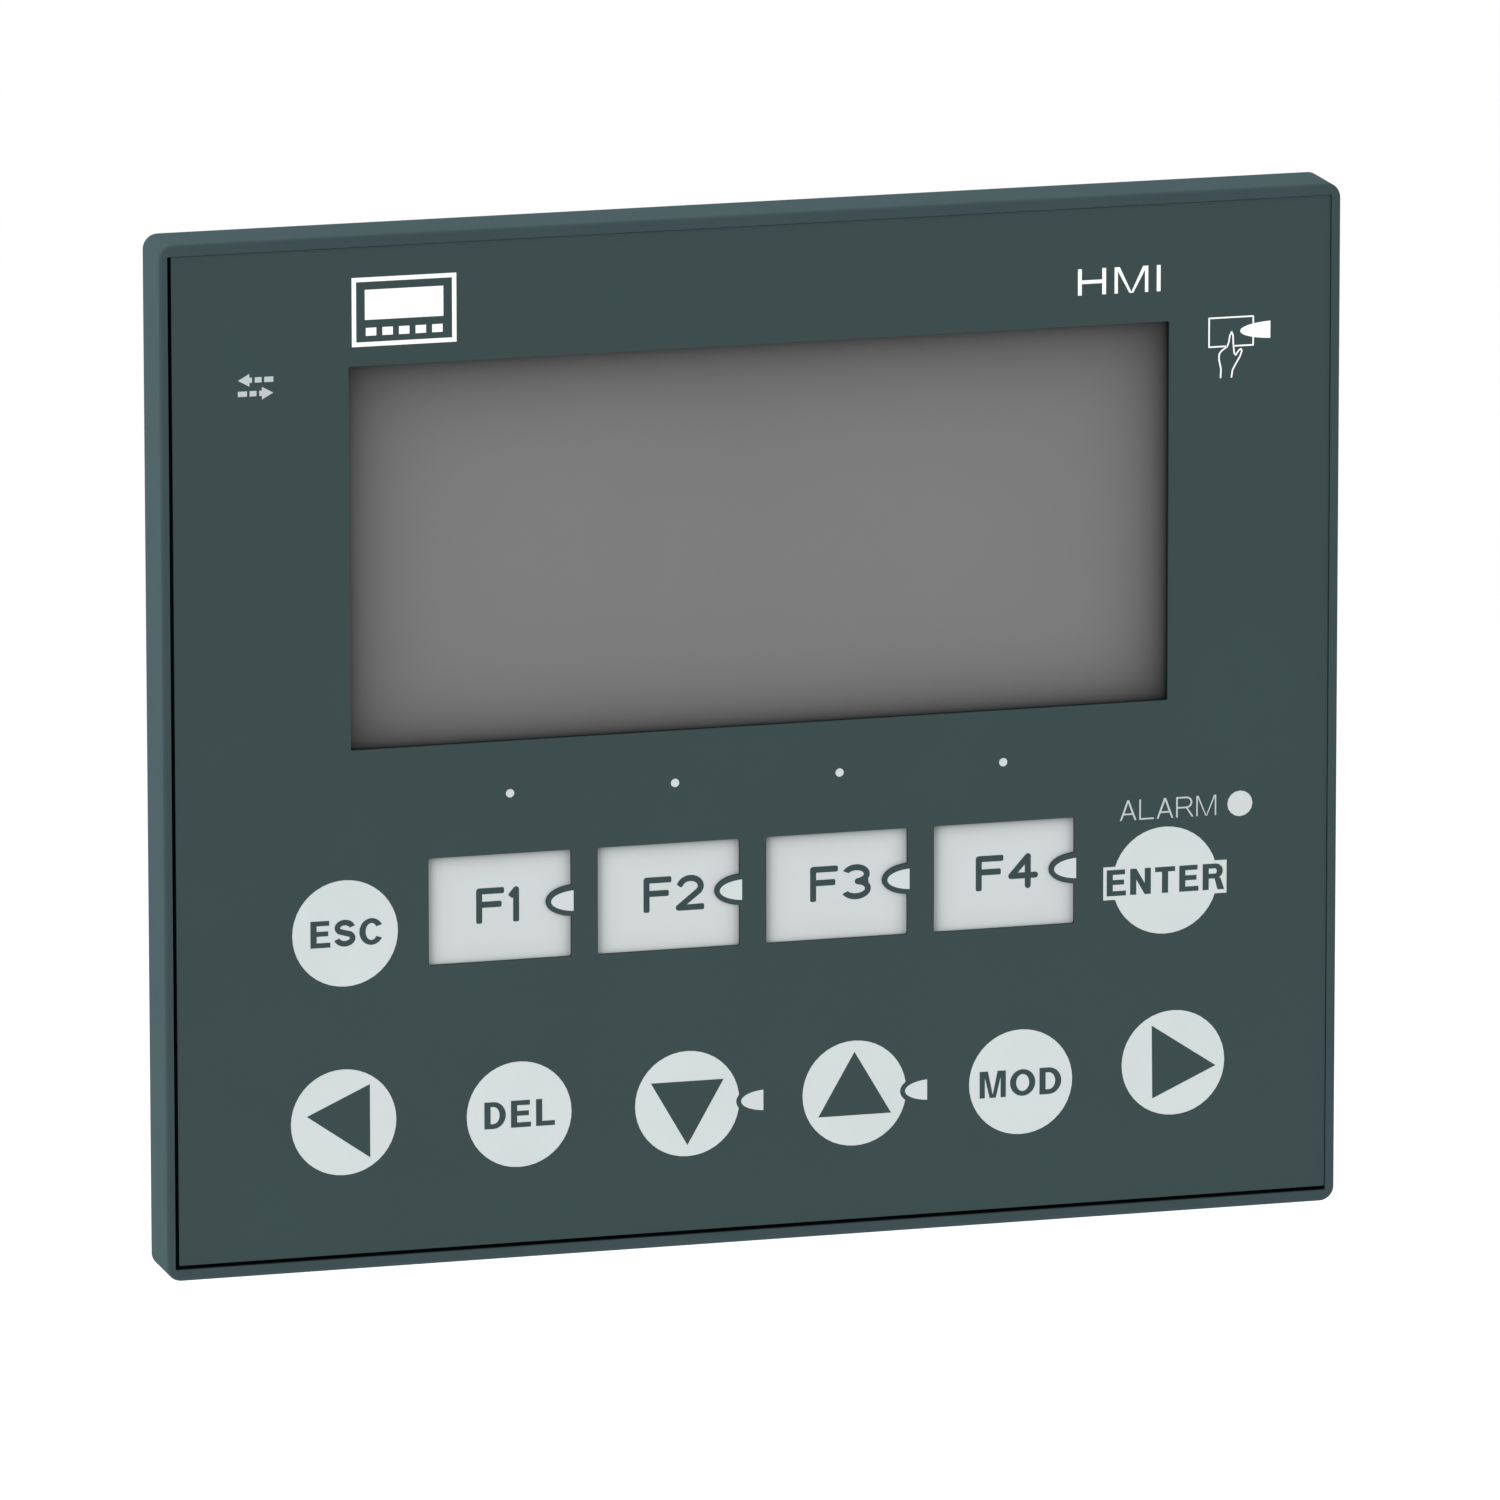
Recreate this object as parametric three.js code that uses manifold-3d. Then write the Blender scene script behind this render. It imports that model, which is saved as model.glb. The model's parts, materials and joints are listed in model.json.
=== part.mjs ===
// Compact panel-mount operator terminal: a touch screen above twelve keys in a flat bezel,
// with the housing, boards and connectors behind the cabinet door.
//
// Millimetres. +X is right, +Z is up and the front faces -Y. The origin is the centre of the
// panel cut-out in the sealing plane, which is the rear face of the bezel.

import * as THREE from 'three';
import { mergeVertices } from 'three/addons/utils/BufferGeometryUtils.js';
import Module from 'manifold-3d';

const wasm = await Module();
wasm.setup();

// ---------------------------------------------------------------- driving dimensions

const BEZEL = { width: 137, height: 118, depth: 7.5, corner: 1.7, edge: 0.5 };
const HOUSING_DEPTH = 29.5;
const CUTOUT = { width: 119.4, height: 98.5 };

// Depths, from the front face backwards.
const FRONT = -BEZEL.depth;
const OVERLAY_FRONT = FRONT + 0.2;
const OVERLAY_REAR = FRONT + 0.9;
const TOUCH_REAR = FRONT + 2.1;
const WALL_REAR = FRONT + 2.9;
const FLANGE_FRONT = -1.5;

const RIM = { left: -67.53, right: 67.37, bottom: -57.65, top: 57.68, corner: 0.12 };
const OVERLAY = { left: -67.07, right: 67.32, bottom: -57.21, top: 57.63, corner: 0.1 };
const SCREEN = { left: -46.9, right: 48.35, bottom: 0.6, top: 44.2, corner: 0.2 };
const SCREEN_STEP = 1;
const TOUCH_BORDER = 2.2;
const TOUCH_CORNER = 0.5;
const TOUCH_CLEARANCE = 0.3;
const POCKET = { halfWidth: 60.2, halfHeight: 50.7, corner: 2 };
const GASKET = {
  inner: 1.2, width: 2.6, depth: 1.6, proud: 0.4, gap: 0.1, innerCorner: 1.5, outerCorner: 3,
};

// Keys: discs, two of them with a shape of their own, and four rectangular function keys.
const KEY_GAP = 0.12;
const KEY_TRAVEL = 0.4;
const DISC_RADIUS = 6.0;
const ENTER_RADIUS = 6.12;
const KEY_FLANGE = 0.9;
const KEY_FLANGE_DEPTH = 0.5;
const KEY_STEM = 2;
const STEM_LENGTH = 0.3;
const DOME_GAP = 0.05;
const DOME = { base: 0.25, crown: 1.5, foot: 4, margin: 1.2 };
const TONGUE_GAP = 0.05;
const FUNCTION_KEY = { width: 16.3, height: 12.05, corner: 0.12, z: -18.45, recess: 0.3 };
const ENTER_BAR = { width: 14.42, height: 3.65 };

// Bullet marks printed beside some keys: the foil runs into the key as a half-ellipse tongue that
// carries the mark, so those keys are notched around it.
const BULLET = { length: 2.6, halfHeight: 1.22, border: 0.55 };
const BULLETS = [
  ['key_f1', -21.25, -18.17],
  ['key_f2', -1.62, -18.17],
  ['key_f3', 18.0, -18.17],
  ['key_f4', 37.62, -18.17],
  ['key_down', 0.85, -42.66],
  ['key_up', 20.1, -42.76],
];
const ROUND_KEYS = [
  ['key_esc', -47.7, -20.25],
  ['key_enter', 48.15, -20.25],
  ['key_left', -48.0, -41.95],
  ['key_del', -27.65, -42.4],
  ['key_down', -8.05, -42.5],
  ['key_up', 11.55, -42.6],
  ['key_mod', 31.15, -42.6],
  ['key_right', 49.2, -41.55],
];
const FUNCTION_KEYS = [
  ['key_f1', -29.75],
  ['key_f2', -10.15],
  ['key_f3', 9.5],
  ['key_f4', 29.15],
];

// Indicators.
const LED_DOTS = [
  ['led_pipe_f1', -28.55],
  ['led_pipe_f2', -9.4],
  ['led_pipe_f3', 9.8],
  ['led_pipe_f4', 29.0],
];
const LED_DOT = { z: -5.4, radius: 0.5, collar: 0.9 };
const ALARM = { x: 57.0, z: -11.9, radius: 1.5, collar: 2.0 };
const PIPE_GAP = 0.04;
const PIPE_TAIL_GAP = 0.6;

// Display module.
const LCD = {
  left: -50.6, right: 52.0, bottom: -2.2, top: 46.4, rear: 2.0, sheet: 0.5, glass: 2.4, window: 0.6,
};
const LCD_BOARD = { inset: 0.4, thickness: 1.6 };
const KEYPAD_BOARD = {
  halfWidth: 59.6, bottom: -50.2, top: -2.9, front: -2.6, thickness: 1.0, corner: 1.5,
};

// Rear housing.
const WALL = 2.2;
const NECK = { halfWidth: CUTOUT.width / 2 - 0.4, halfHeight: CUTOUT.height / 2 - 0.35, corner: 1.5 };
const HOUSING_EDGE = 0.9;
const CAVITY_CORNER = 0.6;
const FLANGE_GAP = 0.2;
const LEDGE = { y: 9.5, z: -37.5 };
const VENT = { width: 1.6, length: 14, count: 12, pitch: 5.2, topStart: 9, rearStart: 26 };
const VENT_FIELD = { margin: 2.2, recess: 0.5, corner: 1 };
const LABEL = { halfWidth: 24, halfHeight: 12, z: -10, recess: 0.3, gap: 0.2, corner: 1 };
const SCREW = { x: 56, z: 33, shaft: 1.25, hole: 1.45, pilot: 1.3, head: 2.25, well: 2.45 };
const SCREW_HEAD_Y = 23;
const SCREW_HEAD_HEIGHT = 1.8;
const CROSS_SLOT = { long: 1.4, half: 0.3, deep: 0.9 };
const SCREW_TIP = WALL_REAR + 0.7;
const PILOT_END = WALL_REAR + 0.4;
const POST_RADIUS = 3.15;
const BOSS_RADIUS = 2.6;
const BOSS_HOLE = BOSS_RADIUS + 0.4;

// Clips that slide along guides in the side walls and press on the back of the door.
const CLIP = {
  z: 16, plate: 12, neck: 8, thickness: 1.1, proud: 0.9, footReach: 6.2, footHalf: 6.5, footY: 6.5,
  footThickness: 1.2, armLength: 4.2, ribReach: 4, ribLength: 7, ribThickness: 1.6,
  heelReach: 2, heelThickness: 1.4, tail: 4.5,
};
const TEETH = { start: 8, pitch: 1.6, width: 0.6, depth: 0.45, half: 2.5, clear: 2 };
const CLIP_GAP = 0.15;
const GUIDE = { chamber: 1.4, depth: 1.2, pad: 17, frontY: 5, wall: 1.4 };
const GUIDE_MOUTH = NECK.halfWidth - GUIDE.depth;
const GUIDE_FLOOR = GUIDE_MOUTH - GUIDE.chamber;

// Connectors on the ledge, which face down. "above" and "below" are measured from the ledge.
const CONNECTOR_Y = 19.4;
const CONNECTOR_GAP = 0.3;
const SERIAL = {
  x: 24, halfTop: 19.15, halfBottom: 17.9, halfDepth: 3.95, wall: 0.5, above: 6.8, below: 6.2,
  flangeHalfWidth: 26.5, flangeHalfDepth: 6.2, flange: 0.9, screwPitch: 47.04, screwHole: 1.6,
};
const PIN = { pitch: 2.77, rowPitch: 2.84, longRow: 13, radius: 0.5, depth: 3 };
const JACK_SCREW = { hex: 2.7, length: 4.8, stud: 1.4, thread: 1.3, bore: 3.5, above: 3.7 };
const SERVICE = {
  x: -19, half: 7, halfDepth: 6.5, above: 8.2, below: 0.6, outer: 4.75, inner: 3.45, bore: 5,
};
const SERVICE_CONTACT = { count: 8, circle: 2.2, radius: 0.4, depth: 4 };
const POWER = { x: -42, pitch: 5.08, width: 18, depth: 9.2, above: 8, roof: 1.6, pin: 0.5 };
const PLUG = {
  width: 15.6, depth: 7.2, above: 3.4, below: 9.5, gap: 0.3, shoulder: 0.6, shoulderFront: 4.4,
  shoulderRear: 5.2, shoulderTop: 0.4, pinHalf: 0.8, pinDepth: 9, wireHalf: 1.7, wireDepth: 5,
};
const CLAMP = {
  up: 4.6, well: 1.9, wellFront: 1.2, head: 1.7, front: 1.4, rear: 3.6, slotHalf: 0.35, slotDepth: 0.7,
};

// Main board behind the display, and the larger components on it as x, z, width, height and height
// above the board.
const MAIN_BOARD = { front: 9.8, thickness: 1.6, halfWidth: 52, bottom: -32.5, top: 45 };
const CHIPS = [
  ['processor_chip', -22, 12, 14, 14, 2.2, 'chip'],
  ['memory_chip', 2, 14, 12, 8, 1.4, 'chip'],
  ['display_controller_chip', 22, 14, 10, 10, 1.6, 'chip'],
  ['power_converter', -40, -4, 16, 22, 9, 'chip'],
  ['isolation_transformer', 38, -2, 13, 15, 10, 'capacitor'],
];
const CAPACITORS = [
  ['input_capacitor', -40, 22, 5],
  ['output_capacitor', -27, 30, 4],
];
const CAPACITOR = { tall: 11, chamfer: 0.6 };

// Gaps and laps: a cutting shape runs PAST the piece that it cuts, joined shapes lap by JOIN, and
// pieces that lie against each other keep FIT, or JOINT where they are bonded or screwed down.
const PAST = 1;
const JOIN = 0.1;
const FIT = 0.05;
const JOINT = 0.02;

const CIRCLE_STEPS = 44;
const SMALL_STEPS = 16;
const DOME_STEPS = 10;
const HEX = 6;

// Depths of a key behind its opening, and of the dome's crown below its stem.
const FLANGE_START = WALL_REAR + FIT;
const FLANGE_REAR = FLANGE_START + KEY_FLANGE_DEPTH;
const STEM_END = FLANGE_REAR + STEM_LENGTH;
const DOME_TOP = STEM_END + KEY_TRAVEL + DOME_GAP;

// ---------------------------------------------------------------- shape helpers

function roundedRect(left, right, bottom, top, radius) {
  const shape = new THREE.Shape();
  shape.moveTo(left + radius, bottom);
  shape.lineTo(right - radius, bottom);
  shape.absarc(right - radius, bottom + radius, radius, -Math.PI / 2, 0);
  shape.lineTo(right, top - radius);
  shape.absarc(right - radius, top - radius, radius, 0, Math.PI / 2);
  shape.lineTo(left + radius, top);
  shape.absarc(left + radius, top - radius, radius, Math.PI / 2, Math.PI);
  shape.lineTo(left, bottom + radius);
  shape.absarc(left + radius, bottom + radius, radius, Math.PI, 1.5 * Math.PI);
  return shape;
}

function centredRect(halfWidth, halfHeight, radius) {
  return roundedRect(-halfWidth, halfWidth, -halfHeight, halfHeight, radius);
}

function edgedRect({ left, right, bottom, top, corner }) {
  return roundedRect(left, right, bottom, top, corner);
}

// Extrudes an outline drawn in X and Z between two depths.
function slab(shape, yFront, yRear, options = {}) {
  const settings = { depth: yRear - yFront, bevelEnabled: false, curveSegments: 2, ...options };
  const geometry = new THREE.ExtrudeGeometry(shape, settings);
  geometry.rotateX(Math.PI / 2);
  geometry.translate(0, yRear, 0);
  return geometry;
}

function box(x0, x1, y0, y1, z0, z1) {
  const geometry = new THREE.BoxGeometry(x1 - x0, y1 - y0, z1 - z0);
  geometry.translate((x0 + x1) / 2, (y0 + y1) / 2, (z0 + z1) / 2);
  return geometry;
}

// A cylinder along Y.
function rod(x, z, radius, y0, y1, steps = SMALL_STEPS) {
  const geometry = new THREE.CylinderGeometry(radius, radius, y1 - y0, steps);
  geometry.translate(x, (y0 + y1) / 2, z);
  return geometry;
}

// A cylinder along Z.
function post(x, y, radius, z0, z1, steps = SMALL_STEPS) {
  const geometry = new THREE.CylinderGeometry(radius, radius, z1 - z0, steps);
  geometry.rotateX(Math.PI / 2);
  geometry.translate(x, y, (z0 + z1) / 2);
  return geometry;
}

// A disc along Y whose radius steps through the given [y, radius] pairs.
function turned(x, z, steps, pairs) {
  const profile = [new THREE.Vector2(0, pairs[0][0])];
  for (const [y, radius] of pairs) {
    profile.push(new THREE.Vector2(radius, y));
  }
  profile.push(new THREE.Vector2(0, pairs[pairs.length - 1][0]));
  const geometry = new THREE.LatheGeometry(profile, steps);
  geometry.translate(x, 0, z);
  return geometry;
}

// ---------------------------------------------------------------- booleans

function toSolid(geometry) {
  const bare = geometry.clone();
  bare.deleteAttribute('normal');
  bare.deleteAttribute('uv');
  const merged = mergeVertices(bare, 1e-4);
  const mesh = new wasm.Mesh({
    numProp: 3,
    vertProperties: new Float32Array(merged.attributes.position.array),
    triVerts: new Uint32Array(merged.index.array),
  });
  return new wasm.Manifold(mesh);
}

function toGeometry(solid) {
  const mesh = solid.getMesh();
  const geometry = new THREE.BufferGeometry();
  geometry.setAttribute('position', new THREE.BufferAttribute(new Float32Array(mesh.vertProperties), 3));
  geometry.setIndex(new THREE.BufferAttribute(new Uint32Array(mesh.triVerts), 1));
  return geometry;
}

// Joins the first list of geometries and cuts the second list out of them.
function combine(joined, cuts = []) {
  let solid = toSolid(joined[0]);
  for (const geometry of joined.slice(1)) {
    solid = solid.add(toSolid(geometry));
  }
  for (const geometry of cuts) {
    solid = solid.subtract(toSolid(geometry));
  }
  return toGeometry(solid);
}

// ---------------------------------------------------------------- materials

function finish(color, roughness, metalness = 0) {
  return () => new THREE.MeshStandardMaterial({ color, roughness, metalness });
}

const FINISHES = {
  bezel: finish(0x54696c, 0.55),
  overlay: finish(0x3e4f51, 0.5),
  keys: finish(0xd2d8d8, 0.5),
  touch: finish(0x8c8c8c, 0.15),
  display: finish(0x7c7c7c, 0.3),
  lightGuide: finish(0xe8ecec, 0.3),
  clear: finish(0x9fa9aa, 0.2),
  rubber: finish(0x1c1e1f, 0.85),
  silicone: finish(0x9a9e9c, 0.7),
  housing: finish(0x2a2e30, 0.6),
  board: finish(0x1d5a34, 0.5),
  chip: finish(0x16181a, 0.5),
  capacitor: finish(0x2b3038, 0.4),
  steel: finish(0xb9bcbe, 0.35, 1),
  socket: finish(0xc3c6c8, 0.35, 1),
  contactBlock: finish(0x151617, 0.6),
  terminal: finish(0x2f7d4a, 0.5),
  label: finish(0xd9dbda, 0.6),
};

const terminal = new THREE.Group();

function place(name, geometry, finishName) {
  const mesh = new THREE.Mesh(geometry, FINISHES[finishName]());
  mesh.name = name;
  terminal.add(mesh);
}

// ---------------------------------------------------------------- key outlines

function discOutline(x, z, radius) {
  const shape = new THREE.Shape();
  shape.absarc(x, z, radius, 0, 2 * Math.PI);
  return shape;
}

function functionOutline(x, margin) {
  const halfWidth = FUNCTION_KEY.width / 2 + margin;
  const halfHeight = FUNCTION_KEY.height / 2 + margin;
  const { corner, z } = FUNCTION_KEY;
  return roundedRect(x - halfWidth, x + halfWidth, z - halfHeight, z + halfHeight, corner + margin);
}

// A round key is a disc. The enter key is a little larger, with a bar across it for its longer legend.
function roundKeyParts(name, x, z, margin, yFront, yRear) {
  const isEnter = name === 'key_enter';
  const radius = (isEnter ? ENTER_RADIUS : DISC_RADIUS) + margin;
  const parts = [slab(discOutline(x, z, radius), yFront, yRear, { curveSegments: CIRCLE_STEPS / 2 })];
  if (isEnter) {
    const halfWidth = ENTER_BAR.width / 2 + margin;
    const halfHeight = ENTER_BAR.height / 2 + margin;
    parts.push(box(x - halfWidth, x + halfWidth, yFront, yRear, z - halfHeight, z + halfHeight));
  }
  return parts;
}

// The half-ellipse tongue whose flat end is at x, grown by a margin on its curved side.
function tongueShape(x, z, margin) {
  const grow = BULLET.border + margin;
  const shape = new THREE.Shape();
  shape.absellipse(x, z, BULLET.length + grow, BULLET.halfHeight + grow, Math.PI / 2, 1.5 * Math.PI);
  shape.lineTo(x + PAST, z - BULLET.halfHeight - grow);
  shape.lineTo(x + PAST, z + BULLET.halfHeight + grow);
  return shape;
}

// The tongues beside a key, or none, between two depths.
function tongues(name, margin, yFront, yRear) {
  return BULLETS
    .filter(([key]) => key === name)
    .map(([, x, z]) => slab(tongueShape(x, z, margin), yFront, yRear, { curveSegments: CIRCLE_STEPS / 4 }));
}

// Openings for all keys, grown by a margin, between two depths.
function keyOpenings(margin, yFront, yRear) {
  const cuts = [];
  for (const [name, x, z] of ROUND_KEYS) {
    cuts.push(...roundKeyParts(name, x, z, margin, yFront, yRear));
  }
  for (const [, x] of FUNCTION_KEYS) {
    cuts.push(slab(functionOutline(x, margin), yFront, yRear));
  }
  return cuts;
}

function screwPlaces() {
  const places = [];
  for (const x of [-SCREW.x, SCREW.x]) {
    for (const z of [-SCREW.z, SCREW.z]) {
      places.push([x, z]);
    }
  }
  return places;
}

// ---------------------------------------------------------------- front

// A block with rounded edges at both ends; callers cut away the end that has to stay square.
function roundedBlock(outline, edge, yFront, yRear) {
  return slab(outline, yFront + edge, yRear - edge, {
    bevelEnabled: true,
    bevelThickness: edge,
    bevelSize: edge,
    bevelOffset: -edge,
    bevelSegments: 4,
    curveSegments: 5,
  });
}

function buildBezel() {
  const outline = centredRect(BEZEL.width / 2, BEZEL.height / 2, BEZEL.corner);
  const spare = 4;
  const block = roundedBlock(outline, BEZEL.edge, FRONT, spare);
  const wide = BEZEL.width;
  const wallEnd = WALL_REAR + JOIN;
  const cuts = [
    box(-wide, wide, 0, spare + PAST, -wide, wide),
    slab(edgedRect(RIM), FRONT - PAST, OVERLAY_REAR),
    slab(centredRect(POCKET.halfWidth, POCKET.halfHeight, POCKET.corner), WALL_REAR, PAST),
    slab(touchOutline(TOUCH_CLEARANCE), FRONT - PAST, TOUCH_REAR + FIT),
    slab(screenOutline(SCREEN_STEP), FRONT - PAST, PAST),
    ...keyOpenings(KEY_GAP, FRONT - PAST, wallEnd),
    gasketRing(GASKET.gap, -GASKET.depth, PAST),
    rod(ALARM.x, ALARM.z, ALARM.collar + PIPE_GAP, FRONT, wallEnd),
  ];
  for (const [, x] of LED_DOTS) {
    cuts.push(rod(x, LED_DOT.z, LED_DOT.collar + PIPE_GAP, FRONT, wallEnd));
  }
  const frame = combine([block], cuts);
  const bosses = screwPlaces().map(([x, z]) => rod(x, z, BOSS_RADIUS, WALL_REAR - JOIN, FLANGE_FRONT));
  const pilots = screwPlaces().map(([x, z]) => rod(x, z, SCREW.pilot, PILOT_END, FLANGE_FRONT + PAST));
  place('front_bezel', combine([frame, ...bosses], pilots), 'bezel');
}

function screenOutline(margin) {
  const { left, right, bottom, top, corner } = SCREEN;
  return roundedRect(left - margin, right + margin, bottom - margin, top + margin, corner);
}

function touchOutline(margin) {
  const grown = TOUCH_BORDER + margin;
  const { left, right, bottom, top } = SCREEN;
  return roundedRect(left - grown, right + grown, bottom - grown, top + grown, TOUCH_CORNER + margin);
}

function gasketRing(grow, yFront, yRear) {
  const innerWidth = POCKET.halfWidth + GASKET.inner - grow;
  const innerHeight = POCKET.halfHeight + GASKET.inner - grow;
  const outerWidth = POCKET.halfWidth + GASKET.inner + GASKET.width + grow;
  const outerHeight = POCKET.halfHeight + GASKET.inner + GASKET.width + grow;
  const ring = centredRect(outerWidth, outerHeight, GASKET.outerCorner + grow);
  ring.holes.push(centredRect(innerWidth, innerHeight, GASKET.innerCorner));
  return slab(ring, yFront, yRear);
}

function buildGasket() {
  place('panel_gasket', gasketRing(0, -GASKET.depth, GASKET.proud), 'rubber');
}

function buildOverlay() {
  const sheet = slab(edgedRect(OVERLAY), OVERLAY_FRONT, OVERLAY_REAR);
  const start = FRONT - PAST;
  const cuts = [slab(screenOutline(0), start, 0)];
  for (const [name, x, z] of ROUND_KEYS) {
    const opening = roundKeyParts(name, x, z, KEY_GAP, start, 0);
    cuts.push(combine(opening, tongues(name, 0, start - PAST, PAST)));
  }
  for (const [name, x] of FUNCTION_KEYS) {
    const opening = slab(functionOutline(x, KEY_GAP), start, 0);
    cuts.push(combine([opening], tongues(name, 0, start - PAST, PAST)));
  }
  for (const [, x] of LED_DOTS) {
    cuts.push(rod(x, LED_DOT.z, LED_DOT.radius + PIPE_GAP, start, 0));
  }
  cuts.push(rod(ALARM.x, ALARM.z, ALARM.radius + PIPE_GAP, start, 0));
  place('front_overlay', combine([sheet], cuts), 'overlay');
}

// A light pipe: a thin nose in the overlay, a collar in the bezel wall and a tail near the board.
function placePipe(name, x, z, radius, collar) {
  const pairs = [
    [OVERLAY_FRONT, radius],
    [OVERLAY_REAR, radius],
    [OVERLAY_REAR, collar],
    [KEYPAD_BOARD.front - PIPE_TAIL_GAP, collar],
  ];
  place(name, turned(x, z, SMALL_STEPS, pairs), 'clear');
}

function buildLightPipes() {
  for (const [name, x] of LED_DOTS) {
    placePipe(name, x, LED_DOT.z, LED_DOT.radius, LED_DOT.collar);
  }
  placePipe('alarm_light_pipe', ALARM.x, ALARM.z, ALARM.radius, ALARM.collar);
}

// ---------------------------------------------------------------- keys and keypad

// A key is a pad in its opening, a wider flange that keeps it in and a stem over its dome.
function placeKey(name, x, z, pads, flanges) {
  const stem = rod(x, z, KEY_STEM, FLANGE_REAR - JOIN, STEM_END);
  const notch = tongues(name, KEY_GAP, FRONT - PAST, OVERLAY_REAR + TONGUE_GAP);
  place(name, combine([...pads, ...flanges, stem], notch), 'keys');
}

function buildKeys() {
  const padRear = FLANGE_START + JOIN;
  for (const [name, x, z] of ROUND_KEYS) {
    const pads = roundKeyParts(name, x, z, 0, OVERLAY_FRONT, padRear);
    const flanges = roundKeyParts(name, x, z, KEY_FLANGE, FLANGE_START, FLANGE_REAR);
    placeKey(name, x, z, pads, flanges);
  }
  for (const [name, x] of FUNCTION_KEYS) {
    const pad = slab(functionOutline(x, 0), OVERLAY_FRONT + FUNCTION_KEY.recess, padRear);
    const flange = slab(functionOutline(x, KEY_FLANGE), FLANGE_START, FLANGE_REAR);
    placeKey(name, x, FUNCTION_KEY.z, [pad], [flange]);
  }
}

function keyCentres() {
  const centres = ROUND_KEYS.map(([, x, z]) => [x, z]);
  for (const [, x] of FUNCTION_KEYS) {
    centres.push([x, FUNCTION_KEY.z]);
  }
  return centres;
}

// One thin sheet with a shallow dome under each key, glued to the keypad board.
function buildDomeSheet() {
  const { base, crown, foot, margin } = DOME;
  const { halfWidth, bottom, front } = KEYPAD_BOARD;
  const top = FUNCTION_KEY.z + FUNCTION_KEY.height / 2 + margin;
  const outline = roundedRect(-halfWidth + margin, halfWidth - margin, bottom + margin, top, margin);
  const sheet = slab(outline, front - base, front);
  const domes = keyCentres().map(([x, z]) => (
    turned(x, z, DOME_STEPS, [[DOME_TOP, crown], [front - base + JOIN, foot]])
  ));
  place('dome_sheet', combine([sheet, ...domes], bossHoles()), 'silicone');
}

function bossHoles() {
  const end = KEYPAD_BOARD.front + KEYPAD_BOARD.thickness + PAST;
  return screwPlaces().map(([x, z]) => rod(x, z, BOSS_HOLE, WALL_REAR, end));
}

function buildKeypadBoard() {
  const { halfWidth, bottom, top, front, thickness, corner } = KEYPAD_BOARD;
  const board = slab(roundedRect(-halfWidth, halfWidth, bottom, top, corner), front, front + thickness);
  place('keypad_board', combine([board], bossHoles()), 'board');
}

// ---------------------------------------------------------------- display module

function buildDisplay() {
  place('touch_panel', slab(touchOutline(0), OVERLAY_REAR + JOINT, TOUCH_REAR), 'touch');

  const { left, right, bottom, top, rear, sheet, glass, window } = LCD;
  const frontY = WALL_REAR + FIT;
  const shell = box(left, right, frontY, rear, bottom, top);
  const inside = box(left + sheet, right - sheet, frontY + sheet, rear + PAST, bottom + sheet, top - sheet);
  const opening = slab(screenOutline(window), frontY - PAST, rear + PAST);
  place('lcd_frame', combine([shell], [inside, opening]), 'steel');

  const inset = sheet + FIT;
  const glassFront = frontY + sheet + JOINT;
  const glassRear = glassFront + glass;
  const layer = (y0, y1) => box(left + inset, right - inset, y0, y1, bottom + inset, top - inset);
  place('lcd_glass', layer(glassFront, glassRear), 'display');
  place('backlight', layer(glassRear + FIT, rear - FIT), 'lightGuide');

  const boardFront = rear + FIT;
  const { inset: boardInset, thickness } = LCD_BOARD;
  const board = box(left, right, boardFront, boardFront + thickness, bottom + boardInset, top - boardInset);
  place('lcd_board', board, 'board');
}

// ---------------------------------------------------------------- rear housing

// A box given by distances from the middle plane, on the left (-1) or the right (+1).
function sideBox(side, near, far, y0, y1, z0, z1) {
  const edges = [side * near, side * far].sort((a, b) => a - b);
  return box(edges[0], edges[1], y0, y1, z0, z1);
}

// The guide for one clip: a wide chamber under a narrower mouth, open at the back.
function clipGuide(side, z) {
  const halfPlate = CLIP.plate / 2 + CLIP_GAP;
  const halfNeck = CLIP.neck / 2 + CLIP_GAP;
  const front = GUIDE.frontY;
  const back = HOUSING_DEPTH + PAST;
  const outside = NECK.halfWidth + PAST;
  return [
    sideBox(side, GUIDE_FLOOR, GUIDE_MOUTH + JOIN, front, back, z - halfPlate, z + halfPlate),
    sideBox(side, GUIDE_MOUTH, outside, front, back, z - halfNeck, z + halfNeck),
  ];
}

function clipPlaces() {
  return [
    ['panel_clip_left_lower', -1, -CLIP.z],
    ['panel_clip_left_upper', -1, CLIP.z],
    ['panel_clip_right_lower', 1, -CLIP.z],
    ['panel_clip_right_upper', 1, CLIP.z],
  ];
}

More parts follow.
